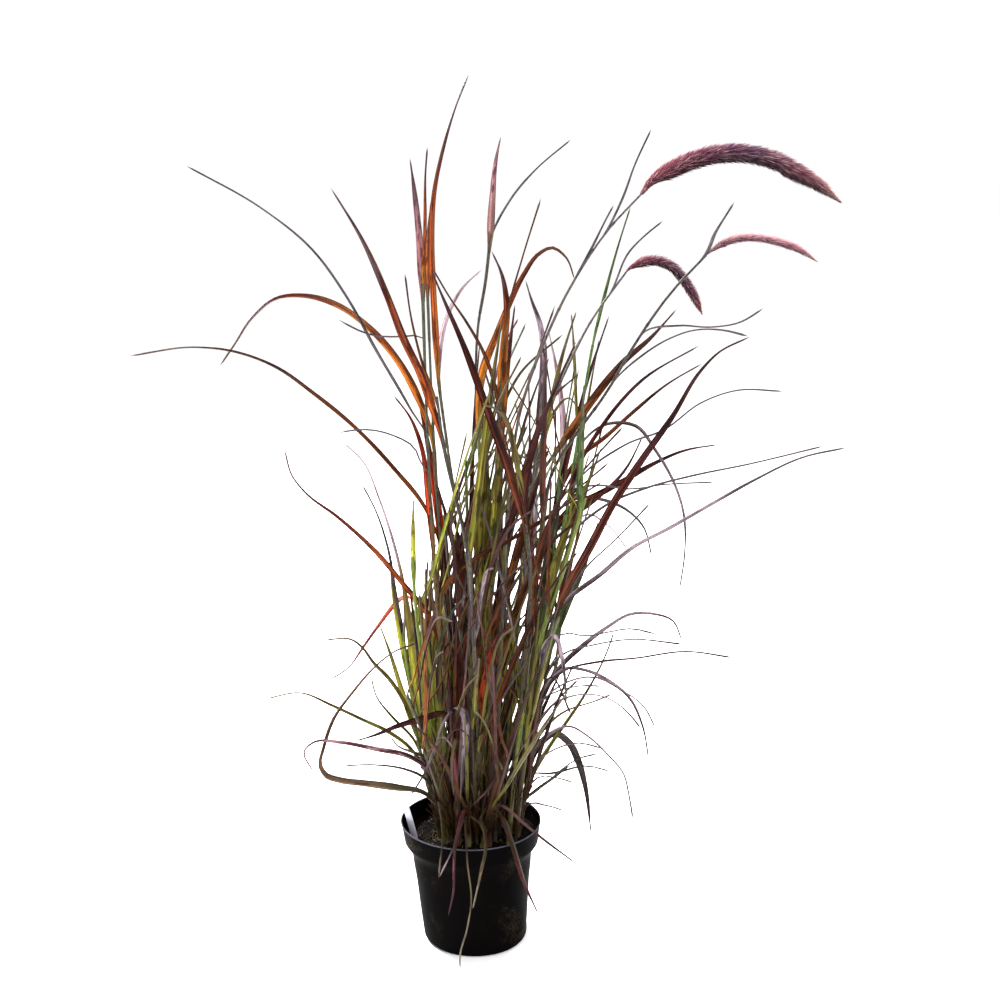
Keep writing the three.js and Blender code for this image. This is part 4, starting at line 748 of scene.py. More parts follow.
def facet_line(line, least, most):
    """A few points of a line, closer together where it turns, and their shares of its length."""
    steps = np.diff(line, axis=0)
    lengths = line_steps(line)
    turns = np.zeros(len(steps))
    cosines = np.sum(steps[1:] * steps[:-1], axis=1) / (lengths[1:] * lengths[:-1])
    turns[1:] = np.degrees(np.arccos(np.clip(cosines, -1, 1)))
    weights = np.concatenate(([0], np.cumsum(lengths / STEP_LENGTH + turns / STEP_TURN)))
    run = run_along(line)
    count = max(least, min(most, math.floor(weights[-1] + 0.5)))
    wanted = weights[-1] * np.arange(1, count) / count
    i = np.searchsorted(weights, wanted, side="left")
    part = (wanted - weights[i - 1]) / (weights[i] - weights[i - 1])
    points = line[i - 1] + (line[i] - line[i - 1]) * part[:, None]
    shares = (run[i - 1] + (run[i] - run[i - 1]) * part) / run[-1]
    return np.vstack((line[:1], points, line[-1:])), np.concatenate(([0], shares, [1]))


# Keeping pieces clear of each other


def fresh_room():
    """The lengths of stems and blades that are taken so far."""
    return SimpleNamespace(owner=np.empty(0, int), start=np.empty((0, 3)), end=np.empty((0, 3)),
                           radius=np.empty(0))


def take(taken, owner, facets, radii):
    """Adds a piece's lengths to those that are taken."""
    taken.owner = np.concatenate((taken.owner, np.full(len(radii), owner)))
    taken.start = np.vstack((taken.start, facets[:-1]))
    taken.end = np.vstack((taken.end, facets[1:]))
    taken.radius = np.concatenate((taken.radius, radii))


def length_radii(shares, radius_at):
    """For each length between two shares, the greater of the radii at its ends."""
    radii = np.array([radius_at(share) for share in shares])
    return np.maximum(radii[:-1], radii[1:])


def closest_gaps(p, q, r, s):
    """Gaps between pairs of straight lengths, from p to q and from r to s."""
    u, v, w = q - p, s - r, p - r
    a, b, c = np.sum(u * u, 1), np.sum(u * v, 1), np.sum(v * v, 1)
    d, e = np.sum(u * w, 1), np.sum(v * w, 1)
    spread = a * c - b * b
    crossing = spread > 1e-6
    along = np.where(crossing, np.clip((b * e - c * d) / np.where(crossing, spread, 1), 0, 1), 0)
    other = (b * along + e) / c
    along = np.where(other < 0, np.clip(-d / a, 0, 1), along)
    along = np.where(other > 1, np.clip((b - d) / a, 0, 1), along)
    other = np.clip(other, 0, 1)
    return np.linalg.norm(w + u * along[:, None] - v * other[:, None], axis=1)


def is_clear(taken, owner, facets, radii):
    """Whether lengths keep off all those that other owners have taken."""
    others = taken.owner != owner
    start, end, radius = taken.start[others], taken.end[others], taken.radius[others]
    room = radii[:, None] + radius[None] + CLEARANCE
    own_length = np.linalg.norm(facets[1:] - facets[:-1], axis=1)
    reach = room + (own_length[:, None] + np.linalg.norm(end - start, axis=1)[None]) / 2
    middle = (facets[1:] + facets[:-1])[:, None] - (start + end)[None]
    one, two = np.nonzero(np.sum(middle * middle, axis=2) <= 4 * reach * reach)
    gaps = closest_gaps(facets[one], facets[one + 1], start[two], end[two])
    return bool(np.all(gaps > room[one, two]))


def pot_radius(z):
    """Radius of the pot's outside at a height."""
    radii, heights = np.array(POT_OUTSIDE, float).T
    low = BASE_RADIUS + (SHOULDER_RADIUS - BASE_RADIUS) * (z - heights[0]) / (heights[1] - heights[0])
    inside = np.interp(z, heights, radii)
    return np.where(z > POT_HEIGHT, low, inside)


def pot_axis(z):
    """How far to the side the crooked pot's middle stands at a height."""
    return RIM_OFFSET * z / POT_HEIGHT


def misses_pot(line, room):
    """Whether a line stays off the pot's wall and out of the compost."""
    parts = np.arange(1, 5)[:, None] / 4
    points = (line[:-1, None] + (line[1:] - line[:-1])[:, None] * parts).reshape(-1, 3)
    z = points[:, 2]
    radius = np.hypot(points[:, 0] - pot_axis(z), points[:, 1])
    wall = pot_radius(z)
    over = z > POT_HEIGHT + room
    outside = ~over & (radius > wall + room)
    inside = ~over & ~outside & (radius < wall - WALL - room) & (z > SOIL_HEIGHT + room)
    free = (z >= LOWEST) & (over | outside | inside)
    through = inside[:-1] & outside[1:]
    return bool(np.all(free) and not np.any(through))


def in_outline(line):
    """Whether a line stays in the dense part of the clump as seen."""
    x, z = seen_from(line)
    if np.any(np.abs(line[:, 1]) > DEPTH_REACH):
        return False
    heights, lefts, rights = np.array(OUTLINE, float).T
    above = z >= heights[0]
    if np.any(z >= heights[-1]):
        return False
    good = (x > np.interp(z, heights, lefts)) & (x < np.interp(z, heights, rights))
    return bool(np.all(good | ~above))


# Growing stems, by the solids' own rule and draws


def stem_radius(share):
    """Radius of a stem at a share of its length."""
    return STEM_FOOT_RADIUS + (STEM_TOP_RADIUS - STEM_FOOT_RADIUS) * share


def blade_width(width, share):
    """Width of a solid's blade at a share of its length."""
    return width * np.minimum(1, 0.42 + 5 * share) * (1 - share * share)


def stem_from(foot, points):
    """A stem through points, with its foot in the compost."""
    start = np.array((foot[0], foot[1], SOIL_HEIGHT), float)
    rise = unit(points[0] - start)
    line = smooth_line([start, *points], rise)
    facets, shares = facet_line(line, *STEM_FACETS)
    facets[0] = start - rise * (STEM_IN_SOIL / rise[2])
    return SimpleNamespace(line=line, facets=facets, radii=length_radii(shares, stem_radius), blades=[])


def grow_shown_stem(taken, foot, depth, seen, draw):
    """A stem whose seen places are known. Each try moves its depth and bow further."""
    for i in range(TRIES):
        top = depth + draw(-3, 3) * i
        bow = draw(-1, 1) * i
        stem = stem_from(foot, seen_line(foot[1], seen, top, bow))
        if is_clear(taken, -1, stem.facets, stem.radii) and misses_pot(stem.line[4:], 2):
            return stem
    raise RuntimeError("a shown stem found no room")


def from_crown(foot):
    """The way from the crown's middle to a stem's foot, and its share of the crown's radius."""
    out = (foot[0] - CROWN[0], foot[1] - CROWN[1])
    return out, math.hypot(*out) / CROWN_RADIUS


def grow_rule_stem(taken, foot, draw):
    """A stem that leans out of the clump, or None where it finds no room."""
    out, away = from_crown(foot)
    for _ in range(TRIES):
        heading = math.atan2(out[1], out[0]) + draw(*RULE_HEADING)
        lean = RULE_LEAN + RULE_EDGE_LEAN * away + draw(*RULE_LEAN_MOVE)
        length = draw(*RULE_STEM_LENGTH) * (1 - RULE_EDGE_SHORTER * away)
        sway = draw(*RULE_SWAY)
        aside = np.array((math.cos(heading) * lean + sway, math.sin(heading) * lean, 1))
        start = np.array((foot[0], foot[1], SOIL_HEIGHT))
        middle = start + aside * (length * 0.5)
        top = start + aside * length
        top[:2] += aside[:2] * length * RULE_TOP_BEND
        stem = stem_from(foot, [middle, top])
        if is_clear(taken, -1, stem.facets, stem.radii) and in_outline(stem.line):
            return stem
    return None


# Growing blades


def root_on(stem, share):
    """The place and direction of a stem at a share of its line's steps."""
    place = share * (len(stem.line) - 1)
    i = min(math.floor(place), len(stem.line) - 2)
    step = stem.line[i + 1] - stem.line[i]
    return stem.line[i] + step * (place - i), unit(step)


def share_at_height(stem, height):
    """The share of a stem's steps at which it is seen at a height."""
    seen = seen_from(stem.line)[1]
    last = len(stem.line) - 1
    reached = np.nonzero(seen >= height)[0]
    return (reached[0] if len(reached) else last - 0.5) / last


def nearest_on(facets, point):
    """The place on straight lengths that is nearest to a point."""
    steps = facets[1:] - facets[:-1]
    parts = np.clip(np.sum((point - facets[:-1]) * steps, 1) / np.sum(steps * steps, 1), 0, 1)
    places = facets[:-1] + steps * parts[:, None]
    return places[np.argmin(np.sum((places - point) ** 2, axis=1))]


def blade_from(stem, root, direction, points, width, side, turns):
    """A blade from its root through points. Its turns are those of its face at root and tip."""
    line = smooth_line([root, *points], direction)
    facets, shares = facet_line(line, *BLADE_FACETS)
    facets[0] = nearest_on(stem.facets, root)
    radii = length_radii(shares, lambda share: blade_width(width, share) / 2)
    return SimpleNamespace(line=line, facets=facets, radii=radii, width=width, side=side, turns=turns)


def add_blade(taken, stem, blade, colour, kind):
    """Gives a blade to its stem and takes its room."""
    blade.colour = colour
    blade.kind = kind
    stem.blades.append(blade)
    take(taken, stem.number, blade.facets, blade.radii)


def has_room(taken, stem, blade):
    """Whether a blade keeps off the others and the pot."""
    return (is_clear(taken, stem.number, blade.facets, blade.radii)
            and misses_pot(blade.line, BLADE_ROOM + blade.width / 3))


def fits(taken, stem, blade):
    """Whether a grown blade has room inside the clump."""
    return in_outline(blade.line) and has_room(taken, stem, blade)


def grow_shown_blade(taken, stem, plan, draw, kind):
    """A blade whose seen places are known. Soft fine blades may touch others with their edges."""
    colour, height, full_width, turn, end_turn, *seen = plan
    width = full_width * (STIFF_SHARE if kind == "fine" else 1)
    root, direction = root_on(stem, share_at_height(stem, height))
    side = unit(np.cross(direction, root - EYE))
    for i in range(TRIES):
        end_depth = root[1] * END_DEPTH_SHARE + draw(-30, 30) + draw(-5, 5) * i
        bow = draw(-2, 2) * i
        shift = draw(-0.3, 0.3) * i
        shifted = [(point[0] + shift, *point[1:]) for point in seen]
        points = seen_line(root[1], shifted, end_depth, bow)
        blade = blade_from(stem, root, direction, points, width, side, (turn, end_turn))
        if has_room(taken, stem, blade):
            add_blade(taken, stem, blade, colour, kind)
            blade.width = full_width
            return


def grow_ruled_blade(taken, stem, rule, tries, draw, colour, kind, turn=0):
    """A drooping blade drawn from a rule, in the rule's order, if it finds room."""
    for _ in range(tries):
        drawn = SimpleNamespace(**{part: draw(*bounds) for part, bounds in rule.items()})
        root, direction = root_on(stem, drawn.root)
        droop = LEAST_DROOP + drawn.droop * drawn.bend if "bend" in rule else drawn.droop
        blade = drooping_blade(stem, root, direction, drawn.heading, drawn.spread, drawn.length, droop,
                               drawn.width, (turn, drawn.twist))
        if fits(taken, stem, blade):
            add_blade(taken, stem, blade, colour, kind)
            if kind == "basal":  # its draws gave only the stiff share
                blade.width /= STIFF_SHARE
            return


def drooping_blade(stem, root, direction, heading, spread, length, droop, width, turns):
    """A blade that spreads from its stem towards a heading and bends down more and more."""
    aside = np.array((math.cos(heading), math.sin(heading), 0))
    course = unit(direction + aside * spread)
    side = unit(np.cross(direction, aside))
    points = []
    point = root
    for k in range(DROOP_POINTS):
        point = point + course * (length / DROOP_POINTS)
        points.append(point)
        course = unit(course - np.array((0, 0, droop * (k + 1))))
    return blade_from(stem, root, direction, points, width, side, turns)


def grow_plume(radius, seen, stem):
    """A plume on the top of its stem, through its seen points."""
    top, below = stem.facets[-1], stem.facets[-2]
    direction = unit(top - below)
    start = top + direction * SEAT_GAP
    line = smooth_line([start, *seen_line(start[1], seen, start[1] + PLUME_TIP_DEPTH, 0)], direction)
    facets, shares = facet_line(line, *PLUME_FACETS)
    radii = length_radii(shares, lambda share: plume_radius(radius, share) + 1)
    radii[0] = STEM_TOP_RADIUS
    return SimpleNamespace(line=line, facets=facets, radii=radii, radius=radius)


def plume_radius(radius, share):
    """Radius of a solid's plume at a share of its length."""
    return radius * np.minimum(1, np.minimum(0.42 + 5 * share, 0.3 + 2.4 * (1 - share)))


def grow_solids():
    """The stems, blades and plumes of the solids."""
    draw = drawer(SOLIDS_SEED)
    taken = fresh_room()
    stems = []

    def add_stem(stem, name, colour, foot):
        stem.name, stem.colour, stem.foot, stem.number = name, colour, foot, len(stems)
        stems.append(stem)
        take(taken, stem.number, stem.facets, stem.radii)

    for name, (colour, foot, depth, seen, _) in SHOWN_STEMS.items():
        add_stem(grow_shown_stem(taken, foot, depth, seen, draw), name, colour, foot)
    by_name = {stem.name: stem for stem in stems}
    plumes = []
    for i, (name, (carrier, radius, seen)) in enumerate(PLUMES.items()):
        plume = grow_plume(radius, seen, by_name[carrier])
        plume.name = name
        plumes.append(plume)
        take(taken, FIRST_PLUME + i, plume.facets, plume.radii)
    shown = len(stems)
    for k in range(CROWN_PLACES):
        if len(stems) == shown + RULE_STEMS:
            break
        radius = CROWN_RADIUS * math.sqrt((k + 0.5) / CROWN_PLACES)
        angle = k * GOLDEN_ANGLE
        foot = (CROWN[0] + radius * math.cos(angle), CROWN[1] + radius * math.sin(angle))
        if any(math.hypot(s.foot[0] - foot[0], s.foot[1] - foot[1]) <= CROWN_SPACING for s in stems):
            continue
        stem = grow_rule_stem(taken, foot, draw)
        if stem is not None:
            colour = RULE_COLOURS[len(stems) % len(RULE_COLOURS)]
            add_stem(stem, f"stem_{len(stems) - shown + 1:02d}", colour, foot)
    for name, plan in SHOWN_STEMS.items():
        for blade in plan[4]:
            grow_shown_blade(taken, by_name[name], blade, draw, "main")
    for turn, roots in enumerate(RULE_BLADE_ROOTS):
        rule = {"root": roots, **BLADE_RULE}
        for i, stem in enumerate(stems):
            if i < shown and turn % 2 == 0:
                continue
            mix = BLADE_MIXES[stem.colour]
            colour = mix[(turn + i) % len(mix)]
            grow_ruled_blade(taken, stem, rule, TRIES, draw, colour, "main", RULE_BLADE_TURN)
    return SimpleNamespace(stems=stems, plumes=plumes, taken=taken, by_name=by_name)


def grow_tuft_blade(stem, turn, draw):
    """A short blade or old sheath at a stem's foot, which may touch the others there."""
    rule = TUFT_RULE
    out, away = from_crown(stem.foot)
    root, direction = root_on(stem, draw(*rule.root))
    blade = drooping_blade(stem, root, direction, math.atan2(out[1], out[0]) + draw(*rule.heading),
                           draw(rule.spread[0], rule.spread[1] - rule.edge_spread * away),
                           draw(rule.length[0], rule.length[1] - rule.edge_length * away),
                           draw(*rule.droop), draw(*rule.width), (0, draw(*rule.twist)))
    if misses_pot(blade.line, rule.room):
        blade.colour = TUFT_MIX[(turn * 3 + stem.number) % len(TUFT_MIX)]
        blade.kind = "tuft"
        stem.blades.append(blade)


def grow_fine_blades(plant, settings):
    """Blades that only the looks have: those that show, then more of them by rules."""
    draw = drawer(FINE_SEED)
    for name, plans in FINE_BLADES.items():
        for plan in plans:
            grow_shown_blade(plant.taken, plant.by_name[name], plan, draw, "fine")
    for rule, tries, kind, turns in ((BASAL_RULE, 10, "basal", settings.basal_blades),
                                     (FINE_RULE, 8, "fine", settings.fine_blades)):
        for turn in range(turns):
            for stem in plant.stems:
                mix = BLADE_MIXES[stem.colour]
                colour = mix[(turn * 3 + stem.number) % len(mix)]
                grow_ruled_blade(plant.taken, stem, rule, tries, draw, colour, kind)
    for turn in range(settings.tuft_blades):
        for stem in plant.stems:
            grow_tuft_blade(stem, turn, draw)


grown = {}


def whole_plant():
    """The plant, grown once in a run."""
    if "plant" not in grown:
        plant = grow_solids()
        grow_fine_blades(plant, bpy.context.scene.grass_leaf)
        grown["plant"] = plant
    return grown["plant"]


# Modelling by hand


def deselect():
    """Selects no object."""
    for piece in list(bpy.context.selected_objects):
        piece.select_set(False)


def edit():
    """Opens the new object for edits, with all of it selected."""
    bpy.ops.object.mode_set(mode="EDIT")
    bpy.ops.mesh.select_all(action="SELECT")


def leave():
    """Closes the edited object and gives it."""
    bpy.ops.object.mode_set(mode="OBJECT")
    return bpy.context.object


def leave_outwards():
    """Turns all the faces of the edited object outwards and leaves it."""
    bpy.ops.mesh.select_all(action="SELECT")
    bpy.ops.mesh.normals_make_consistent(inside=False)
    return leave()


def draw_up(profile, sides):
    """A round piece drawn up ring by ring through a profile of radii and heights."""
    deselect()
    bpy.ops.mesh.primitive_circle_add(vertices=sides, radius=profile[0][0] * MM, fill_type="NGON",
                                      location=(0, 0, profile[0][1] * MM))
    edit()
    for (radius, z), (next_radius, next_z) in zip(profile, profile[1:]):
        bpy.ops.mesh.extrude_region_move(TRANSFORM_OT_translate={"value": (0, 0, (next_z - z) * MM)})
        scale = next_radius / radius
        bpy.ops.transform.resize(value=(scale, scale, 1))


def model_tube(sides, rings, pointed):
    """A unit tube from 0 to 1 up Z with a closed foot, and a point or a closed top."""
    deselect()
    bpy.ops.mesh.primitive_circle_add(vertices=sides, radius=1, fill_type="NGON")
    edit()
    for _ in range(rings):
        bpy.ops.mesh.extrude_region_move(TRANSFORM_OT_translate={"value": (0, 0, 1 / rings)})
    if pointed:
        bpy.ops.mesh.merge(type="CENTER")
    return taken_apart(leave_outwards(), rings)


def model_crumb():
    """A unit lump."""
    deselect()
    bpy.ops.mesh.primitive_ico_sphere_add(subdivisions=1, radius=1)
    edit()
    bpy.ops.transform.resize(value=(1, 0.82, 0.7))
    return taken_apart(leave(), 1)


def taken_apart(piece, rings):
    """A modelled template as arrays of points, ring numbers and faces."""
    points = np.array([vertex.co for vertex in piece.data.vertices])
    faces = [tuple(face.vertices) for face in piece.data.polygons]
    mesh = piece.data
    bpy.data.objects.remove(piece)
    bpy.data.meshes.remove(mesh)
    return SimpleNamespace(points=points, ring=np.rint(points[:, 2] * rings).astype(int), faces=faces)


templates = {}


def tube_template(sides, rings, pointed):
    """A unit tube, modelled once for each shape that is asked for."""
    key = (sides, rings, pointed)
    if key not in templates:
        templates[key] = model_tube(*key)
    return templates[key]


class Gathering:
    """The parts of one mesh, gathered as arrays in millimetres."""

    def __init__(self):
        self.points = []
        self.growth = []
        self.faces = []
        self.slots = []
        self.count = 0

    def add(self, points, growth, faces, slot):
        start = self.count
        self.points.append(points)
        self.growth.append(growth)
        self.faces += [tuple(corner + start for corner in face) for face in faces]
        self.slots += [slot] * len(faces)
        self.count += len(points)

    def piece(self, name, materials):
        mesh = bpy.data.meshes.new(name)
        mesh.from_pydata((np.vstack(self.points) * MM).tolist(), [], self.faces)
        growth = mesh.attributes.new("growth", "FLOAT_VECTOR", "POINT")
        growth.data.foreach_set("vector", np.vstack(self.growth).astype(np.float32).ravel())
        mesh.polygons.foreach_set("material_index", self.slots)
        for material in materials:
            mesh.materials.append(material)
        piece = bpy.data.objects.new(name, mesh)
        bpy.context.scene.collection.objects.link(piece)
        smooth(piece)
        return piece


def smooth(piece, angle=42):
    """Smooth shading, with edges sharper than an angle in degrees left sharp."""
    deselect()
    piece.select_set(True)
    bpy.context.view_layer.objects.active = piece
    bpy.ops.object.shade_smooth_by_angle(angle=math.radians(angle))


def along_line(line, shares):
    """Places and directions at shares of a line's length, and the length."""
    run = run_along(line)
    wanted = np.asarray(shares) * run[-1]
    points, ahead, behind = [
        np.stack([np.interp(wanted + shift, run, line[:, axis]) for axis in range(3)], axis=1)
        for shift in (0, 1.5, -1.5)]
    steps = ahead - behind
    return points, steps / np.linalg.norm(steps, axis=1)[:, None], run[-1]


def sides_along(directions, side):
    """Side vectors that turn with a line and no more."""
    sides = []
    for direction in directions:
        side = unit(side - direction * np.dot(side, direction))
        sides.append(side)
    return np.array(sides)


def growth_values(across, share, tint):
    """What the materials read: the place across (on a plume's hairs, a painted shade value instead), the
    share of the length and the piece's own tint.
    """
    return np.stack(np.broadcast_arrays(across, share, tint), axis=-1)


def wrapped(template, line, shares, side, wide, high=None):
    """A tube's points round a line, with a share, a width and a height for each of its rings."""
    points, directions, _ = along_line(line, shares)
    sides = sides_along(directions, side)
    ups = np.cross(directions, sides)
    k = template.ring
    across = template.points[:, 0] * wide[k]
    level = template.points[:, 1] * (wide if high is None else high)[k]
    return points[k] + sides[k] * across[:, None] + ups[k] * level[:, None]


def bend_blade(blade, settings, draw):
    """A folded blade on its line: points, growth values and faces."""
    coarseness = 32 if blade.kind == "main" else 50
    rings = int(min(56, max(8, 4 * round(line_steps(blade.line).sum() / coarseness))))
    template = tube_template(sides=8, rings=rings, pointed=True)
    shares = np.linspace(0, 1, rings + 1)
    points, directions, length = along_line(blade.line, shares)
    sides = sides_along(directions, blade.side)
    phase, wave = draw(*PHASE), draw(*RIPPLE_LENGTH)
    ripple = np.sin(shares * length / wave + phase) * np.minimum(1, shares * 4) * RIPPLE_TURN
    turn = blade.turns[0] + (blade.turns[1] - blade.turns[0]) * settings.twist * shares
    turns = np.radians(turn + ripple)[:, None]
    sides = sides * np.cos(turns) + np.cross(directions, sides) * np.sin(turns)
    ups = np.cross(directions, sides)

    # Half the width at each ring: narrow at the root, then a long taper to a thread
    widening = 1 + (settings.widening - 1) * min(1, blade.width / 8)
    half = blade.width / 2 * widening * np.minimum(1, 0.45 + 2.8 * shares) * (1 - shares ** 2.8)
    half *= ROLLED.get(blade.colour, 1)
    half *= 1 + EDGE_WAVE * np.sin(shares * length / EDGE_WAVE_LENGTH + phase)
    half = np.maximum(half, settings.tip / MM / 2 * np.minimum(1, 30 * (1 - shares)))

    # The fold lifts both edges, and a tip or a narrow blade is rolled round
    fold = settings.fold * (1 + 0.9 * np.exp(-shares * 14)) + 0.5 * shares ** 3
    k = template.ring
    across, level = template.points[:, 0], template.points[:, 1]
    thick = settings.thickness / MM * (1 - 0.5 * np.abs(across)) * (1 - 0.6 * shares[k])
    lift = fold[k] * half[k] * (np.abs(across) ** 1.3 - 0.5)
    rolled = np.maximum(shares[k] ** 2, 0.85 - blade.width / 10)
    thread = level * settings.tip / MM / 2 * rolled
    height = lift + np.sign(np.round(level, 4)) * thick / 2 + thread
    placed = points[k] + sides[k] * (across * half[k])[:, None] + ups[k] * height[:, None]
    return placed, growth_values(across, shares[k], draw(0, 1)), template.faces


def sheath_part(stem, blade, draw):
    """The sheath that wraps the culm below a blade's root and opens at its top."""
    run = run_along(stem.line)
    place = run[np.argmin(np.sum((stem.line - blade.line[0]) ** 2, axis=1))]
    low = max(place - draw(*SHEATH_BELOW), 2)
    high = min(place + SHEATH_ABOVE, run[-1])
    if high - low < LEAST_SHEATH:
        return None
    steps = np.concatenate(([0, 0.01], np.linspace(0.06, 0.9, 6), [0.96, 1, 1]))
    shares = (low + (high - low) * steps) / run[-1]
    fullness = min(1.2, 0.8 + blade.width / 28)
    widths = np.concatenate(([0.7], np.linspace(1.1 * fullness, 1.28 * fullness, 7),
                             [1.36 * fullness, 1.42 * fullness, 0.7]))
    template = tube_template(sides=8, rings=len(shares) - 1, pointed=False)
    placed = wrapped(template, stem.line, shares, blade.side, stem_radius(shares) * widths)
    k = template.ring
    return placed, growth_values(0.55 - 0.35 * steps[k], shares[k], draw(0, 1)), template.faces


def culm_part(stem, draw):
    """The culm with its nodes, from its foot in the compost to its top."""
    line = np.vstack((stem.facets[0], stem.line))
    length = line_steps(line).sum()
    nodes = []
    place = STEM_IN_SOIL + draw(*FIRST_NODE)
    while place < length - NODE_FREE_TOP:
        nodes.append(place)
        place += draw(*NODE_GAP)

    # Rings at each node and between nodes, in sixes so that few templates serve all the culms
    stations = {0.0, length}
    for node in nodes:
        stations |= {node + step for step in NODE_RINGS}
    stations |= set(np.linspace(0, length, max(8, int(length / CULM_STEP))))
    runs = np.array(sorted(place for place in stations if 0 <= place <= length))
    runs = runs[np.concatenate(([True], np.diff(runs) > LEAST_CULM_STEP))]
    while len(runs) % 6 != 1:
        gap = np.argmax(np.diff(runs))
        runs = np.insert(runs, gap + 1, (runs[gap] + runs[gap + 1]) / 2)

    radii = stem_radius(np.clip((runs - STEM_IN_SOIL) / (length - STEM_IN_SOIL), 0, 1))
    above = np.zeros(len(runs))
    nodes = np.array([-60.0] + nodes)
    for i, run in enumerate(runs):
        nearest = np.min(np.abs(run - nodes))
        radii[i] *= 1 + NODE_SWELL * math.exp(-((nearest / NODE_REACH) ** 2))
        above[i] = (run - nodes[nodes <= run + 1.2][-1]) / 120
    template = tube_template(sides=10, rings=len(runs) - 1, pointed=False)
    placed = wrapped(template, line, runs / length, np.array((0.9, 0.44, 0)), radii)
    k = template.ring
    return placed, growth_values(above[k], runs[k] / length, draw(0, 1)), template.faces


# Materials


def add_node(tree, kind, values=(), stops=(), **settings):
    """A new node: its settings, its inputs as numbers, nodes or their outputs, and ramp stops."""
    node = tree.nodes.new(kind)
    for key, value in settings.items():
        setattr(node, key, value)
    for socket, value in dict(values).items():
        if isinstance(value, bpy.types.Node):
            value = next(output for output in value.outputs if output.enabled)
        if isinstance(value, bpy.types.NodeSocket):
            tree.links.new(value, node.inputs[socket])
        else:
            node.inputs[socket].default_value = value
    for i, (place, colour) in enumerate(stops):
        elements = node.color_ramp.elements
        stop = elements[i] if i < len(elements) else elements.new(place)
        stop.position = place
        stop.color = colour
    return node


def new_material(name):
    """An empty material, and what adds a node to it."""
    material = bpy.data.materials.new(name)
    material.use_nodes = True
    material.node_tree.nodes.clear()
    return material, partial(add_node, material.node_tree)


def finish_material(add, skin, through=None, share=0.0):
    """Ends a material in its skin, and where it is thin, in a share of light that comes through."""
    surface = add("ShaderNodeBsdfPrincipled", skin)
    if through is not None:
        glow = add("ShaderNodeBsdfTranslucent", {"Color": through})
        surface = add("ShaderNodeMixShader", {"Fac": share, 1: surface, 2: glow})
    add("ShaderNodeOutputMaterial", {"Surface": surface})


def browned_and_shaded_low(add, colour):
    """The colour with dark brown mixed in just above the compost: partly the brown of old sheaths and earth,
    partly painted shade at the crowded foot of the clump.
    """
    place = add("ShaderNodeTexCoord").outputs["Object"]
    height = add("ShaderNodeSeparateXYZ", {"Vector": place}).outputs["Z"]
    # Strongest a little above the compost and gone by 0.4 m up: partly old brown, partly painted shade
    brown = add("ShaderNodeValToRGB", {"Fac": height}, stops=[
        (0.15, (0, 0, 0, 1)), (0.175, (0.92, 0.92, 0.92, 1)), (0.4, (0, 0, 0, 1))])
    return add("ShaderNodeMix", {"Factor": brown, 6: colour, 7: linear("2C1C10")}, data_type="RGBA")


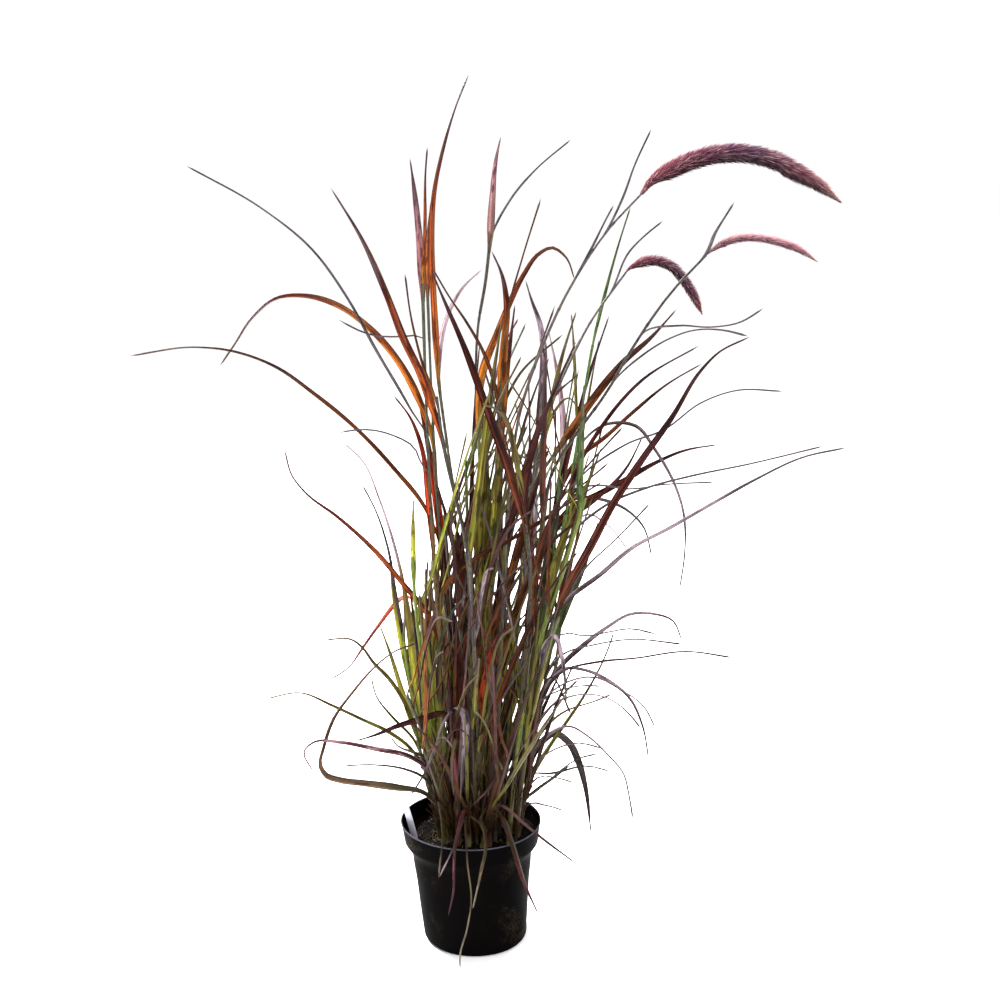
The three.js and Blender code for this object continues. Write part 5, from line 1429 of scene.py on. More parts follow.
def leaf_material(name, colours, veins):
    """Grass blade: thin waxy skin, so it is satin on top, and light from behind glows through it."""
    material, add = new_material(name)
    *ramp, streak, margin = [linear(colour) for colour in colours]
    growth = add("ShaderNodeAttribute", attribute_name="growth").outputs["Vector"]
    across, share, tint = add("ShaderNodeSeparateXYZ", {"Vector": growth}).outputs
    noises = []
    for scale in ((0.5, 6, 61), (0.9, 9, 37), (1.9, 2.4, 83)):
        place = add("ShaderNodeMapping", {"Vector": growth, "Scale": scale})
        noises.append(add("ShaderNodeTexNoise", {"Vector": place, "Scale": 1.0, "Detail": 3.0}))
    blotches, patches, lines = noises

    # The colour from root to tip, moved by blotches and by each blade's own tint
    shifted = add("ShaderNodeMath", {0: blotches, 1: 0.8, 2: share}, operation="MULTIPLY_ADD")
    offset = add("ShaderNodeMath", {0: tint, 1: 0.26, 2: shifted}, operation="MULTIPLY_ADD")
    centred = add("ShaderNodeMath", {0: offset, 1: 0.53}, operation="SUBTRACT")
    body = add("ShaderNodeValToRGB", {"Fac": centred}, stops=zip(LEAF_PLACES, ramp))

    # Pale streaks and midrib, strongest low down
    # In the mauve, pink and flushed blades these pale marks are partly painted sheen
    line_mask = add("ShaderNodeMapRange", {
        "Value": lines, "From Min": 0.47, "From Max": 0.6, "To Max": 0.8})
    aside = add("ShaderNodeMath", {0: across}, operation="ABSOLUTE")
    rib_mask = add("ShaderNodeMapRange", {
        "Value": aside, "From Max": 0.16, "To Min": 0.45, "To Max": 0.0})
    light_mask = add("ShaderNodeMath", {0: line_mask, 1: rib_mask}, operation="MAXIMUM")
    fade = add("ShaderNodeMapRange", {
        "Value": share, "From Min": 0.2, "From Max": 0.75, "To Min": 1.0, "To Max": 0.2})
    faded = add("ShaderNodeMath", {0: light_mask, 1: fade}, operation="MULTIPLY")
    ribbed = add("ShaderNodeMix", {"Factor": faded, 6: body, 7: streak}, data_type="RGBA")

    # Margins and patches, which most leaves have darker
    # The flushed blade has them pale instead: painted highlights
    patch_mask = add("ShaderNodeMapRange", {
        "Value": patches, "From Min": 0.52, "From Max": 0.6, "To Max": 0.75})
    edge = add("ShaderNodeMapRange", {"Value": aside, "From Min": 0.5, "From Max": 0.95, "To Max": 0.4})
    dark_mask = add("ShaderNodeMath", {0: patch_mask, 1: edge}, operation="MAXIMUM")
    edged = add("ShaderNodeMix", {"Factor": dark_mask, 6: ribbed, 7: margin}, data_type="RGBA")

    # Veins, and the half of the fold that lies in its own shade
    angle = add("ShaderNodeMath", {0: across, 1: math.pi * veins}, operation="MULTIPLY")
    wave = add("ShaderNodeMath", {0: angle}, operation="SINE")
    vein_shade = add("ShaderNodeMapRange", {
        "Value": wave, "From Min": -1.0, "To Min": 0.7, "To Max": 1.0})
    half_shade = add("ShaderNodeMapRange", {
        "Value": across, "From Min": -0.12, "From Max": 0.12, "To Min": 0.74, "To Max": 1.1})
    shade = add("ShaderNodeMath", {0: vein_shade, 1: half_shade}, operation="MULTIPLY")
    # Dark brown near the compost, partly old sheaths and earth and partly painted shade
    browned_and_shaded = browned_and_shaded_low(add, edged)
    veined = add("ShaderNodeVectorMath", {0: browned_and_shaded, "Scale": shade}, operation="SCALE")
    bump = add("ShaderNodeBump", {"Height": wave, "Strength": 0.4, "Distance": 0.0004})
    gloss = add("ShaderNodeMapRange", {"Value": blotches, "To Min": 0.3, "To Max": 0.55})
    glow = add("ShaderNodeHueSaturation", {"Color": veined, "Value": 1.3})
    finish_material(add, {"Base Color": veined, "Roughness": gloss, "Normal": bump,
                          "Specular IOR Level": 0.12}, glow, 0.35)
    return material


def culm_material(name, colours):
    """Grass culm: smooth hard stalk with dark nodes, and sheaths that clasp it above each of them."""
    material, add = new_material(name)
    band, sheath, bare, streak = [linear(colour) for colour in colours]
    growth = add("ShaderNodeAttribute", attribute_name="growth").outputs["Vector"]
    above, share, _ = add("ShaderNodeSeparateXYZ", {"Vector": growth}).outputs
    wrapping = add("ShaderNodeValToRGB", {"Fac": above}, stops=[
        (0.0, band), (0.012, band), (0.04, sheath), (0.4, sheath), (0.62, bare), (1.0, bare)])
    high = add("ShaderNodeMapRange", {"Value": share, "From Min": 0.5, "From Max": 0.75, "To Max": 0.8})
    body = add("ShaderNodeMix", {"Factor": high, 6: wrapping, 7: bare}, data_type="RGBA")
    place = add("ShaderNodeTexCoord").outputs["Object"]
    stretched = add("ShaderNodeMapping", {"Vector": place, "Scale": (1, 1, 0.12)})
    grain = add("ShaderNodeTexNoise", {"Vector": stretched, "Scale": 520.0})
    mask = add("ShaderNodeMapRange", {"Value": grain, "From Min": 0.5, "From Max": 0.66, "To Max": 0.85})
    streaked = add("ShaderNodeMix", {"Factor": mask, 6: body, 7: streak}, data_type="RGBA")
    # Dark brown near the compost, partly old sheaths and earth and partly painted shade
    browned_and_shaded = browned_and_shaded_low(add, streaked)
    finish_material(add, {"Base Color": browned_and_shaded, "Roughness": 0.42, "Specular IOR Level": 0.12}, browned_and_shaded, 0.15)
    return material


def plume_material(name, colours):
    """Plume bristles: fine dry hairs, dull, with painted shade deep inside the plume and under it, and pale
    ends painted brighter on its upper side.
    """
    material, add = new_material(name)
    *ramp, inside = [linear(colour) for colour in colours]
    growth = add("ShaderNodeAttribute", attribute_name="growth").outputs["Vector"]
    out, share, tint = add("ShaderNodeSeparateXYZ", {"Vector": growth}).outputs
    body = add("ShaderNodeValToRGB", {"Fac": share}, stops=zip(PLUME_PLACES, ramp))
    # Painted shade: where the first value is low, under the plume and towards the hairs' roots, the dark
    # colour is mixed in
    depth = add("ShaderNodeMapRange", {"Value": out, "From Min": 0.15, "From Max": 0.7, "To Max": 1.0})
    shaded = add("ShaderNodeMix", {"Factor": depth, 6: inside, 7: body}, data_type="RGBA")
    pale = add("ShaderNodeMapRange", {"Value": tint, "From Min": 0.6, "From Max": 0.95, "To Max": 0.9})
    # Pale flecks on the hairs, a real colour, painted brighter on the plume's upper side and fading towards
    # the roots: a painted highlight
    pale_tips_where_lit = add("ShaderNodeMath", {0: pale, 1: out}, operation="MULTIPLY")
    flecked_and_highlit = add("ShaderNodeMix", {"Factor": pale_tips_where_lit, 6: shaded, 7: linear("F4D2CC")}, data_type="RGBA")
    finish_material(add, {"Base Color": flecked_and_highlit, "Roughness": 0.62, "Specular IOR Level": 0.1},
                    flecked_and_highlit, 0.4)
    return material


def pot_material(settings):
    """Polypropylene, injection-moulded: black and satin, with a painted highlight along the top of its lip,
    and at its left and right sides dried soil mixed with painted sheen.
    """
    material, add = new_material("Polypropylene, moulded black")
    place = add("ShaderNodeTexCoord").outputs["Object"]
    grain = add("ShaderNodeTexNoise", {"Vector": place, "Scale": 1400.0, "Detail": 3.0})
    patches = add("ShaderNodeTexNoise", {
        "Vector": place, "Scale": 17.0, "Detail": 6.0, "Roughness": 0.7})
    specks = add("ShaderNodeTexNoise", {"Vector": place, "Scale": 420.0, "Detail": 2.0})
    patch_mask = add("ShaderNodeMapRange", {"Value": patches, "From Min": 0.52, "From Max": 0.8})
    speck_mask = add("ShaderNodeMapRange", {"Value": specks, "From Min": 0.42, "From Max": 0.72})
    x, _, z = add("ShaderNodeSeparateXYZ", {"Vector": place}).outputs
    # Dried soil mixed with painted sheen, strongest at the pot's left and right sides as seen from the front
    aside = add("ShaderNodeMath", {0: x, 1: 0.006}, operation="ADD")
    far_aside = add("ShaderNodeMath", {0: aside}, operation="ABSOLUTE")
    dust_and_sheen_sides = add("ShaderNodeMapRange", {
        "Value": far_aside, "From Min": 0.035, "From Max": 0.08, "To Min": 0.03, "To Max": 1.0})
    dusty = add("ShaderNodeMath", {0: patch_mask, 1: speck_mask}, operation="MULTIPLY")
    dust_and_sheen_mask = add("ShaderNodeMath", {0: dusty, 1: dust_and_sheen_sides}, operation="MULTIPLY")
    soiled = add("ShaderNodeMix", {
        "Factor": dust_and_sheen_mask, 6: settings.colour, 7: settings.dust_and_sheen}, data_type="RGBA")
    # Painted highlight: a light line along the top of the rim's lip
    lip = add("ShaderNodeMapRange", {"Value": z, "From Min": 0.1702, "From Max": 0.1712, "To Max": 0.8})
    colour = add("ShaderNodeMix", {"Factor": lip, 6: soiled, 7: settings.lip_highlight}, data_type="RGBA")
    gloss = add("ShaderNodeMapRange", {"Value": patches, "To Min": 0.4, "To Max": 0.65})
    bump = add("ShaderNodeBump", {"Height": grain, "Strength": 0.15, "Distance": 0.0003})
    finish_material(add, {"Base Color": colour, "Roughness": gloss, "Normal": bump,
                          "Specular IOR Level": 0.005})
    return material


def compost_material(name, dark, light, scale):
    """Peat compost, milled and moist: matt and crumbly, its colour painted almost black in the hollows of
    its bumps, a painted shade.
    """
    material, add = new_material(name)
    place = add("ShaderNodeTexCoord").outputs["Object"]
    crumb = add("ShaderNodeTexNoise", {"Vector": place, "Scale": scale, "Detail": 5.0, "Roughness": 0.7})
    # Painted shade: the same noise sets the colour and the bumps, so the hollows are painted dark
    body = add("ShaderNodeValToRGB", {"Fac": crumb}, stops=[(0.35, dark), (0.72, light)])
    bump = add("ShaderNodeBump", {"Height": crumb, "Strength": 0.8, "Distance": 0.001})
    finish_material(add, {"Base Color": body, "Roughness": 0.88, "Normal": bump,
                          "Specular IOR Level": 0.03})
    return material


def label_material(settings):
    """Polystyrene sheet, punched: white and smooth, a little soiled near the compost."""
    material, add = new_material("Polystyrene, punched white")
    place = add("ShaderNodeTexCoord").outputs["Object"]
    soil = add("ShaderNodeTexNoise", {"Vector": place, "Scale": 260.0, "Detail": 4.0})
    height = add("ShaderNodeSeparateXYZ", {"Vector": place}).outputs["Z"]
    low = add("ShaderNodeMapRange", {
        "Value": height, "From Min": 0.152, "From Max": 0.176, "To Min": 0.75, "To Max": 0.0})
    dirty = add("ShaderNodeMath", {0: low, 1: soil}, operation="MULTIPLY")
    colour = add("ShaderNodeMix", {
        "Factor": dirty, 6: settings.colour, 7: linear("6A5A4A")}, data_type="RGBA")
    finish_material(add, {"Base Color": colour, "Roughness": 0.35, "Specular IOR Level": 0.3})
    return material


def floor_material(settings):
    """Painted studio floor: matt near-white, with the faint roll of its paint."""
    material, add = new_material("Studio floor, painted white")
    place = add("ShaderNodeTexCoord").outputs["Object"]
    roll = add("ShaderNodeTexNoise", {"Vector": place, "Scale": 30.0, "Detail": 2.0})
    bump = add("ShaderNodeBump", {"Height": roll, "Strength": 0.03, "Distance": 0.0005})
    finish_material(add, {"Base Color": settings.floor, "Roughness": 0.9, "Normal": bump,
                          "Specular IOR Level": 0.1})
    return material


# Pieces


def pot_profile(lip):
    """The pot's section from the foot's edge up the outside and down the inside."""
    inner = [(radius - WALL, z) for radius, z in reversed(POT_OUTSIDE)]
    foot = []
    for step in range(6):
        angle = math.radians(90 * step / 5)
        foot.append((BASE_RADIUS - BASE_ROUNDING + BASE_ROUNDING * math.sin(angle),
                     BASE_ROUNDING - BASE_ROUNDING * math.cos(angle)))
    shoulder = POT_HEIGHT - SHOULDER_DEPTH
    collar = POT_HEIGHT - COLLAR_DEPTH
    outside = [
        (BASE_RADIUS + 3.4, 46), (BASE_RADIUS + 6.6, 88), (SHOULDER_RADIUS - 1.4, shoulder - 16),
        (SHOULDER_RADIUS - 0.7, shoulder - 6), (SHOULDER_RADIUS + 0.2, shoulder),
        (SHOULDER_RADIUS + 3.4, shoulder + 7), (COLLAR_FOOT_RADIUS - 1.4, collar - 2.4),
        (COLLAR_FOOT_RADIUS, collar), (COLLAR_FOOT_RADIUS + 0.4, collar + 2.5),
        (RIM_RADIUS - 1.6, POT_HEIGHT - lip - 4), (RIM_RADIUS - 1.2, POT_HEIGHT - lip),
        (RIM_RADIUS - 0.1, POT_HEIGHT - lip * 0.75), (RIM_RADIUS, POT_HEIGHT - lip * 0.35),
        (RIM_RADIUS - 0.5, POT_HEIGHT), (RIM_RADIUS - WALL, POT_HEIGHT - 0.2),
    ]
    inside = [(RIM_RADIUS - WALL - 0.4, POT_HEIGHT - 6)] + inner[1:-1]
    inside += [(BASE_RADIUS - WALL, BASE_ROUNDING), (BASE_RADIUS - BASE_ROUNDING, WALL)]
    return foot + outside + inside


def model_pot(settings):
    """The pot, drawn up from its foot ring by ring, then drilled and set crooked."""
    draw_up(pot_profile(settings.lip / MM), settings.sides)
    pot = leave_outwards()
    pot.name = "nursery_pot"
    for i in range(DRAIN_HOLES):
        angle = 2 * math.pi * (i + 0.5) / DRAIN_HOLES
        drill_hole(pot, DRAIN_RING_RADIUS * MM * math.cos(angle), DRAIN_RING_RADIUS * MM * math.sin(angle))
    for vertex in pot.data.vertices:
        point = vertex.co
        wave = noise.noise(Vector((point.x * 16, point.y * 16, point.z * 9)))
        radial = Vector((point.x, point.y, 0))
        share = min(1, point.z / STIFF_FOOT)
        if radial.length > STIFF_FLOOR:
            point += radial.normalized() * wave * settings.softness * share
        point.x += pot_axis(point.z / MM) * MM
    smooth(pot, 32)
    return pot


def drill_hole(pot, x, y):
    """One drain hole, cut with a cylinder."""
    deselect()
    bpy.ops.mesh.primitive_cylinder_add(vertices=24, radius=DRAIN_HOLE_RADIUS * MM, depth=4 * WALL * MM,
                                        location=(x, y, 0))
    drill = bpy.context.object
    bpy.context.view_layer.objects.active = pot
    cut = pot.modifiers.new("Drain hole", "BOOLEAN")
    cut.object = drill
    cut.operation = "DIFFERENCE"
    bpy.ops.object.modifier_apply(modifier=cut.name)
    bpy.data.objects.remove(drill)


def soil_level(x, y):
    """Height of the compost's surface without its lumps, in metres."""
    radius = math.hypot(x, y)
    edge = SOIL_EDGE_DROP * MM * max(0, (radius - SOIL_FLAT_RADIUS) / SOIL_EDGE_WIDTH)
    return SOIL_HEIGHT * MM - edge + CROWN_RISE * math.exp(-((radius / CROWN_RISE_RADIUS) ** 2))


def soil_lump(x, y, height):
    """Height of the compost's lumps at a place, in metres: wide ones with small ones on them."""
    point = Vector((x * 60, y * 60, 3.1))
    fine = Vector((x * 210, y * 210, 7.7))
    return height * (noise.noise(point) * 0.7 + noise.noise(fine) * 0.5)


def model_compost(settings):
    """The root ball: its top drawn in by insets and lumped, its side following the pot's inside."""
    fit = WALL + SEAT_GAP
    edge = SOIL_HEIGHT - SOIL_EDGE_DROP
    top_radius = float(pot_radius(np.array(edge))) - fit
    profile = [(BASE_RADIUS - BASE_ROUNDING - SEAT_GAP, fit)]
    profile += [(radius - fit, z) for radius, z in POT_OUTSIDE[:3]]
    profile.append((top_radius, edge))
    draw_up(profile, COMPOST_SIDES)
    for _ in range(COMPOST_RINGS):
        bpy.ops.mesh.inset(thickness=top_radius * MM / (COMPOST_RINGS + 1.5), depth=0)
    bpy.ops.mesh.poke()
    compost = leave_outwards()
    compost.name = "compost"
    bpy.ops.object.transform_apply(location=True, rotation=False, scale=False)
    for vertex in compost.data.vertices:
        point = vertex.co
        radius = math.hypot(point.x, point.y)
        if point.z > (edge - 0.01) * MM and radius < (top_radius - 0.5) * MM:
            point.z = soil_level(point.x, point.y) + soil_lump(point.x, point.y, settings.lump)
        point.x += pot_axis(point.z / MM) * MM
    smooth(compost, 60)
    return compost


def scatter_crumbs(settings):
    """Loose crumbs and bits of bark on the compost."""
    draw = drawer(CRUMB_SEED)
    crumb = model_crumb()
    crumbs = Gathering()
    for i in range(settings.crumbs):
        radius = CRUMB_REACH * math.sqrt(draw(0, 1))
        angle = draw(*ALL_ROUND)
        x, y = radius * math.cos(angle), radius * math.sin(angle)
        bark = i % BARK_EVERY == 0
        size = draw(*BARK_SIZE) if bark else 0.5 + 1.9 * draw(0, 1) * draw(0, 1)
        stretch = (size * 1.5, size * 0.7, size * 0.4) if bark else (size, size, size * 0.9)
        points = crumb.points * (np.array(stretch) * (0.8 + 0.4 * draw(0, 1)))
        points = points * (1 + 0.25 * np.sin(crumb.points[:, [1, 2, 0]] * draw(1, 5) + draw(0, 6)))
        turn = Matrix.Rotation(draw(*PHASE), 3, "Z") @ Matrix.Rotation(draw(-0.5, 0.5), 3, "X")
        points = points @ np.array(turn).T
        level = (soil_level(x * MM, y * MM) + soil_lump(x * MM, y * MM, settings.lump)) / MM
        points += (x + pot_axis(level), y, level + stretch[2] * 0.35)
        crumbs.add(points, np.full((len(points), 3), draw(0, 1)), crumb.faces, 1 if bark else 0)
    return crumbs


def scatter_fibres(settings):
    """Bits of dead grass and root that lie on the compost, most of them round the crown."""
    draw = drawer(FIBRE_SEED)
    fibres = Gathering()
    template = tube_template(sides=4, rings=8, pointed=True)
    shares = np.linspace(0, 1, 9)
    for _ in range(settings.fibres):
        radius = 40 + 42 * draw(0, 1) * draw(0.3, 1)
        angle = draw(*ALL_ROUND)
        heading = draw(*ALL_ROUND)
        length = draw(*FIBRE_LENGTH)
        curl = draw(-0.9, 0.9)
        arch = draw(0.5, 5)
        turns = heading + curl * shares + draw(0.2, 0.6) * np.sin(shares * draw(3, 9) + draw(0, 6))
        steps = np.stack((np.cos(turns), np.sin(turns)), axis=1) * (length / 8)
        flat = np.cumsum(steps, axis=0) + (radius * math.cos(angle), radius * math.sin(angle))
        inner = np.hypot(flat[:, 0], flat[:, 1])
        flat *= np.minimum(1, FIBRE_REACH / inner)[:, None]
        level = np.array([soil_level(x * MM, y * MM) + soil_lump(x * MM, y * MM, settings.lump)
                          for x, y in flat]) / MM
        line = np.stack((flat[:, 0] + pot_axis(SOIL_HEIGHT), flat[:, 1],
                         level + 0.5 + arch * np.sin(math.pi * shares)), axis=1)
        thick = draw(*FIBRE_THICKNESS) * (1 - 0.6 * shares)
        placed = wrapped(template, line, shares, np.array((0, 0, 1.0)), thick * 0.5, thick)
        growth = growth_values(template.points[:, 1], shares[template.ring], draw(0, 1))
        fibres.add(placed, growth, template.faces, 0)
    return fibres


def model_label(settings):
    """A flat stick, pointed at its foot, bowed, and leaning out towards the rim."""
    deselect()
    bpy.ops.mesh.primitive_cube_add(size=1)
    edit()
    bpy.ops.transform.resize(value=(LABEL_WIDTH * MM, LABEL_THICKNESS * MM, LABEL_LENGTH * MM))
    middle = LABEL_LENGTH / 2 - LABEL_IN_SOIL
    bpy.ops.transform.translate(value=(0, 0, middle * MM))
    for z in (LABEL_POINT - LABEL_IN_SOIL, *LABEL_CUTS):
        bpy.ops.mesh.select_all(action="SELECT")
        bpy.ops.mesh.bisect(plane_co=(0, 0, z * MM), plane_no=(0, 0, 1))
    label = leave()
    label.name = "blank_label"
    foot = -LABEL_IN_SOIL * MM
    for vertex in label.data.vertices:
        if vertex.co.z < foot + 1e-5:
            vertex.co.x *= LABEL_POINT_WIDTH
        rise = (vertex.co.z - foot) / (LABEL_LENGTH * MM)
        vertex.co.y += settings.bow * 4 * rise * (1 - rise) - settings.bow * 0.5
    bevel = label.modifiers.new("Edges", "BEVEL")
    bevel.width = settings.edge
    bevel.segments = 2
    bpy.ops.object.modifier_apply(modifier=bevel.name)
    turn = Matrix.Rotation(math.radians(-LABEL_TURN), 4, "Z")
    lean = Matrix.Rotation(math.radians(-LABEL_LEAN), 4, "Y")
    place = Matrix.Translation((LABEL_FOOT[0] * MM, LABEL_FOOT[1] * MM, SOIL_HEIGHT * MM))
    label.data.transform(place @ turn @ lean)
    smooth(label, 30)
    return label


def stem_piece(stem, settings, leaves, culms, draw):
    """One leafy stem: its culm, sheaths and blades in one mesh."""
    parts = Gathering()
    names = []
    parts.add(*culm_part(stem, draw), 0)
    for blade in stem.blades:
        if blade.colour not in names:
            names.append(blade.colour)
        parts.add(*bend_blade(blade, settings, draw), 1 + names.index(blade.colour))
        sheath = sheath_part(stem, blade, draw) if blade.width > LEAST_SHEATHED else None
        if sheath:
            parts.add(*sheath, 0)
    return parts.piece(f"leafy_{stem.name}", [culms[stem.colour], *(leaves[name] for name in names)])


def plume_outline(plume, share):
    """Radius of a plume's hairs, slimmer than its solid at the foot and the tip."""
    ends = np.minimum(np.minimum(1, 0.45 + 4 * share), 0.24 + 5.5 * (1 - share))
    return plume_radius(plume.radius, share) * ends


def add_hairs(parts, plume, template, swell, count, reach, lean, thick, tints, random):
    """Spikelets or bristles: they stand in a spiral, lean to the tip, and carry a painted shade that is
    darkest under the plume and at their roots.

    Each is as thick at its rings as swell says, reaches to shares of the plume's outline and
    leans by degrees from the plume's line. Pairs are ranges that the draws stay in.
    """
    share = 0.985 * (np.arange(count) + random.random(count)) / count
    around = np.arange(count) * GOLDEN_ANGLE + random.normal(0, 0.25, count)
    points, directions, _ = along_line(plume.line, share)
    grid = np.linspace(0, 1, 60)
    sides = sides_along(along_line(plume.line, grid)[1], np.array((0, 1.0, 0)))
    side = np.stack([np.interp(share, grid, sides[:, axis]) for axis in range(3)], axis=1)
    side -= directions * np.sum(side * directions, axis=1)[:, None]
    side /= np.linalg.norm(side, axis=1)[:, None]
    out = side * np.cos(around)[:, None] + np.cross(directions, side) * np.sin(around)[:, None]
    across = np.cross(out, directions)
    full = plume_outline(plume, share)
    start = HAIR_ROOT * full
    rise = np.maximum(full * random.uniform(*reach, count) - start, 0.4)
    run = rise / np.tan(np.radians(random.uniform(*lean, count)))
    width = thick * random.uniform(0.75, 1.3, count)
    k = template.ring
    part = k / (len(swell) - 1)
    centre = (points[:, None] + out[:, None] * (start[:, None] + rise[:, None] * part ** 0.85)[..., None]
              + directions[:, None] * (run[:, None] * part ** 1.1)[..., None])
    round_part = width[:, None] * np.array(swell)[k] / 2
    placed = (centre + across[:, None] * (template.points[:, 0] * round_part)[..., None]
              + out[:, None] * (template.points[:, 1] * round_part)[..., None])
    # Painted shade and highlight: hairs facing up get a higher value and hairs facing down a lower one, and
    # each is lower towards its root
    lit = 0.56 + 0.44 * out[:, 2:]
    tint = random.uniform(*tints, count)
    growth = growth_values(lit * (0.3 + 0.7 * part), share[:, None], tint[:, None])
    for i in range(count):
        parts.add(placed[i], growth[i], template.faces, 0)


def plume_piece(plume, settings, material):
    """One plume: a slim core, spikelets in a herringbone, and bristles that stand between them."""
    random = np.random.default_rng(int(plume.radius * 1000))
    parts = Gathering()
    core = tube_template(sides=8, rings=36, pointed=True)
    shares = np.linspace(0, 1, 37)
    radii = CORE_SHARE * plume_outline(plume, shares)
    placed = wrapped(core, plume.line, shares, np.array((0, 1.0, 0)), radii)
    # The core gets a low value, so it is painted in the dark colour of painted shade
    parts.add(placed, growth_values(0.1, shares[core.ring], 0.2), core.faces, 0)
    skin = 2 * math.pi * plume.radius * run_along(plume.line)[-1]
    spikelet = tube_template(sides=5, rings=3, pointed=True)
    add_hairs(parts, plume, spikelet, (0.4, 1, 0.75, 0), int(skin * settings.spikelet_density),
              (0.8, 1), (24, 36), 0.5 + 0.035 * plume.radius, (0.2, 1), random)
    bristle = tube_template(sides=3, rings=2, pointed=True)
    thick = settings.bristle / MM
    add_hairs(parts, plume, bristle, (0.9, 0.8, 0), int(skin * settings.density * 0.88),
              (0.6, 0.96), (16, 38), thick, (0, 0.95), random)
    reach = 1 + settings.fuzz / MM / plume.radius
    add_hairs(parts, plume, bristle, (0.8, 0.6, 0), int(skin * settings.density * 0.12),
              (0.9, reach), (22, 44), thick * 0.75, (0.4, 1), random)
    return parts.piece(plume.name.replace("plume", "bristled_plume"), [material])


# Operators


class GRASS_OT_pot(bpy.types.Operator):
    """Model the black nursery pot"""

    bl_idname = "grass.pot"
    bl_label = "Pot"

    def execute(self, context):
        settings = context.scene.grass_pot
        pot = model_pot(settings)
        pot.data.materials.clear()
        pot.data.materials.append(pot_material(settings))
        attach(pot, "root")
        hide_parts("pot")
        return {"FINISHED"}


class GRASS_OT_compost(bpy.types.Operator):
    """Model the compost with its crumbs, bark and bits of dead grass"""

    bl_idname = "grass.compost"
    bl_label = "Compost"

    def execute(self, context):
        settings = context.scene.grass_compost
        peat = compost_material("Peat compost, milled", settings.colour, linear("0E0907"), 240.0)
        bark = compost_material("Pine bark, chipped", linear("120B08"), settings.bark, 500.0)
        straw = leaf_material("Dead grass, dry", LEAF_COLOURS["dead"], 3)
        compost = model_compost(settings)
        compost.data.materials.append(peat)
        crumbs = scatter_crumbs(settings).piece("compost_crumbs", [peat, bark])
        fibres = scatter_fibres(settings).piece("dead_grass_bits", [straw])
        for piece in (compost, crumbs, fibres):
            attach(piece, "root")
        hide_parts("soil")
        return {"FINISHED"}


class GRASS_OT_label(bpy.types.Operator):
    """Model the blank stick label"""

    bl_idname = "grass.label"
    bl_label = "Label"

    def execute(self, context):
        settings = context.scene.grass_label
        label = model_label(settings)
        label.data.materials.clear()
        label.data.materials.append(label_material(settings))
        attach(label, "root")
        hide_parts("label")
        return {"FINISHED"}


class GRASS_OT_stems(bpy.types.Operator):
    """Model every leafy stem with its culm, sheaths and folded blades"""

    bl_idname = "grass.stems"
    bl_label = "Leafy stems"

    def execute(self, context):
        settings = context.scene.grass_leaf
        leaves = {name: leaf_material(f"Grass leaf, {name}", colours, settings.vein_count)
                  for name, colours in LEAF_COLOURS.items()}
        culms = {name: culm_material(f"Grass culm, {name}", colours)
                 for name, colours in CULM_COLOURS.items()}
        draw = drawer(STEM_SEED)
        for stem in whole_plant().stems:
            piece = stem_piece(stem, settings, leaves, culms, draw)
            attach(piece, "root")
            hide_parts(stem.name)
        return {"FINISHED"}


class GRASS_OT_plumes(bpy.types.Operator):
    """Model the three bristly plumes"""

    bl_idname = "grass.plumes"
    bl_label = "Plumes"

    def execute(self, context):
        settings = context.scene.grass_plume
        for plume in whole_plant().plumes:
            material = plume_material(f"Plume bristles, {plume.name[6:]}", PLUME_COLOURS[plume.name])
            piece = plume_piece(plume, settings, material)
            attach(piece, "root")
            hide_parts(plume.name)
        return {"FINISHED"}


class GRASS_OT_stage(bpy.types.Operator):
    """Set the pale floor, the soft lights and the camera"""

    bl_idname = "grass.stage"
    bl_label = "Stage"

    def execute(self, context):
        settings = context.scene.grass_stage
        deselect()
        bpy.ops.mesh.primitive_circle_add(vertices=96, radius=settings.floor_radius, fill_type="NGON")
        floor = context.object
        floor.name = "studio_floor"
        floor.data.materials.append(floor_material(settings))
        world = bpy.data.worlds.new("White surround")
        world.use_nodes = True
        background = world.node_tree.nodes["Background"]
        background.inputs["Color"].default_value = settings.sky
        background.inputs["Strength"].default_value = settings.sky_strength
        context.scene.world = world
        for name, (place, size, power) in LIGHTS.items():
            add_light(name, place, size, getattr(settings, power))
        context.scene.view_settings.view_transform = "Standard"
        add_camera(context)
        return {"FINISHED"}


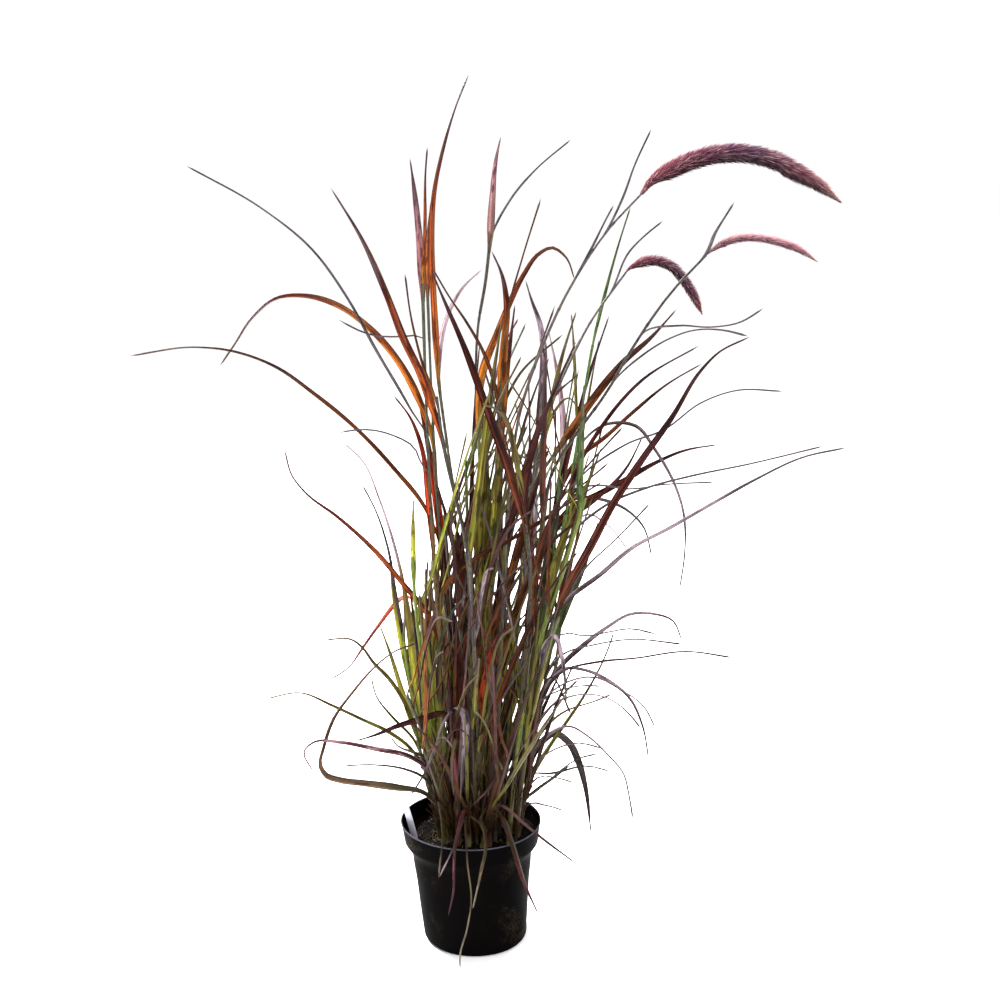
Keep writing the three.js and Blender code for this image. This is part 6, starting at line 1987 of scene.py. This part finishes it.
def add_light(name, place, size, power):
    """A square soft light that faces the middle of the plant."""
    deselect()
    bpy.ops.object.light_add(type="AREA", location=place)
    light = bpy.context.object
    light.name = name
    light.data.size = size
    light.data.energy = power
    light.rotation_euler = (Vector(LIGHTS_AIM) - Vector(place)).to_track_quat("-Z", "Y").to_euler()


def add_camera(context):
    """The camera where the photograph was taken from."""
    deselect()
    bpy.ops.object.camera_add(location=EYE * MM, rotation=(math.radians(CAMERA_TILT), 0, 0))
    camera = context.object
    camera.data.sensor_width = CAMERA_SENSOR
    camera.data.lens = CAMERA_LENS
    context.scene.camera = camera


class GRASS_PT_panel(bpy.types.Panel):
    """The pieces of the potted grass, in the sidebar"""

    bl_idname = "GRASS_PT_panel"
    bl_label = "Potted fountain grass"
    bl_space_type = "VIEW_3D"
    bl_region_type = "UI"
    bl_category = "Fountain Grass"

    def draw(self, context):
        for operator in OPERATORS:
            self.layout.operator(operator.bl_idname)
        for name in SETTINGS:
            group = getattr(context.scene, name)
            box = self.layout.box()
            for key in group.__annotations__:
                box.prop(group, key)


SETTINGS = {
    "grass_pot": PotSettings,
    "grass_compost": CompostSettings,
    "grass_label": LabelSettings,
    "grass_leaf": LeafSettings,
    "grass_plume": PlumeSettings,
    "grass_stage": StageSettings,
}
OPERATORS = (GRASS_OT_stage, GRASS_OT_pot, GRASS_OT_compost, GRASS_OT_label, GRASS_OT_stems,
             GRASS_OT_plumes)
CLASSES = (*SETTINGS.values(), *OPERATORS, GRASS_PT_panel)


def register():
    for group in CLASSES:
        bpy.utils.register_class(group)
    for name, group in SETTINGS.items():
        setattr(bpy.types.Scene, name, PointerProperty(type=group))


def unregister():
    for name in SETTINGS:
        delattr(bpy.types.Scene, name)
    for group in reversed(CLASSES):
        bpy.utils.unregister_class(group)


def main():
    register()
    bpy.ops.grass.stage()
    bpy.ops.grass.pot()
    bpy.ops.grass.compost()
    bpy.ops.grass.label()
    bpy.ops.grass.stems()
    bpy.ops.grass.plumes()


if __name__ == "__main__":
    main()
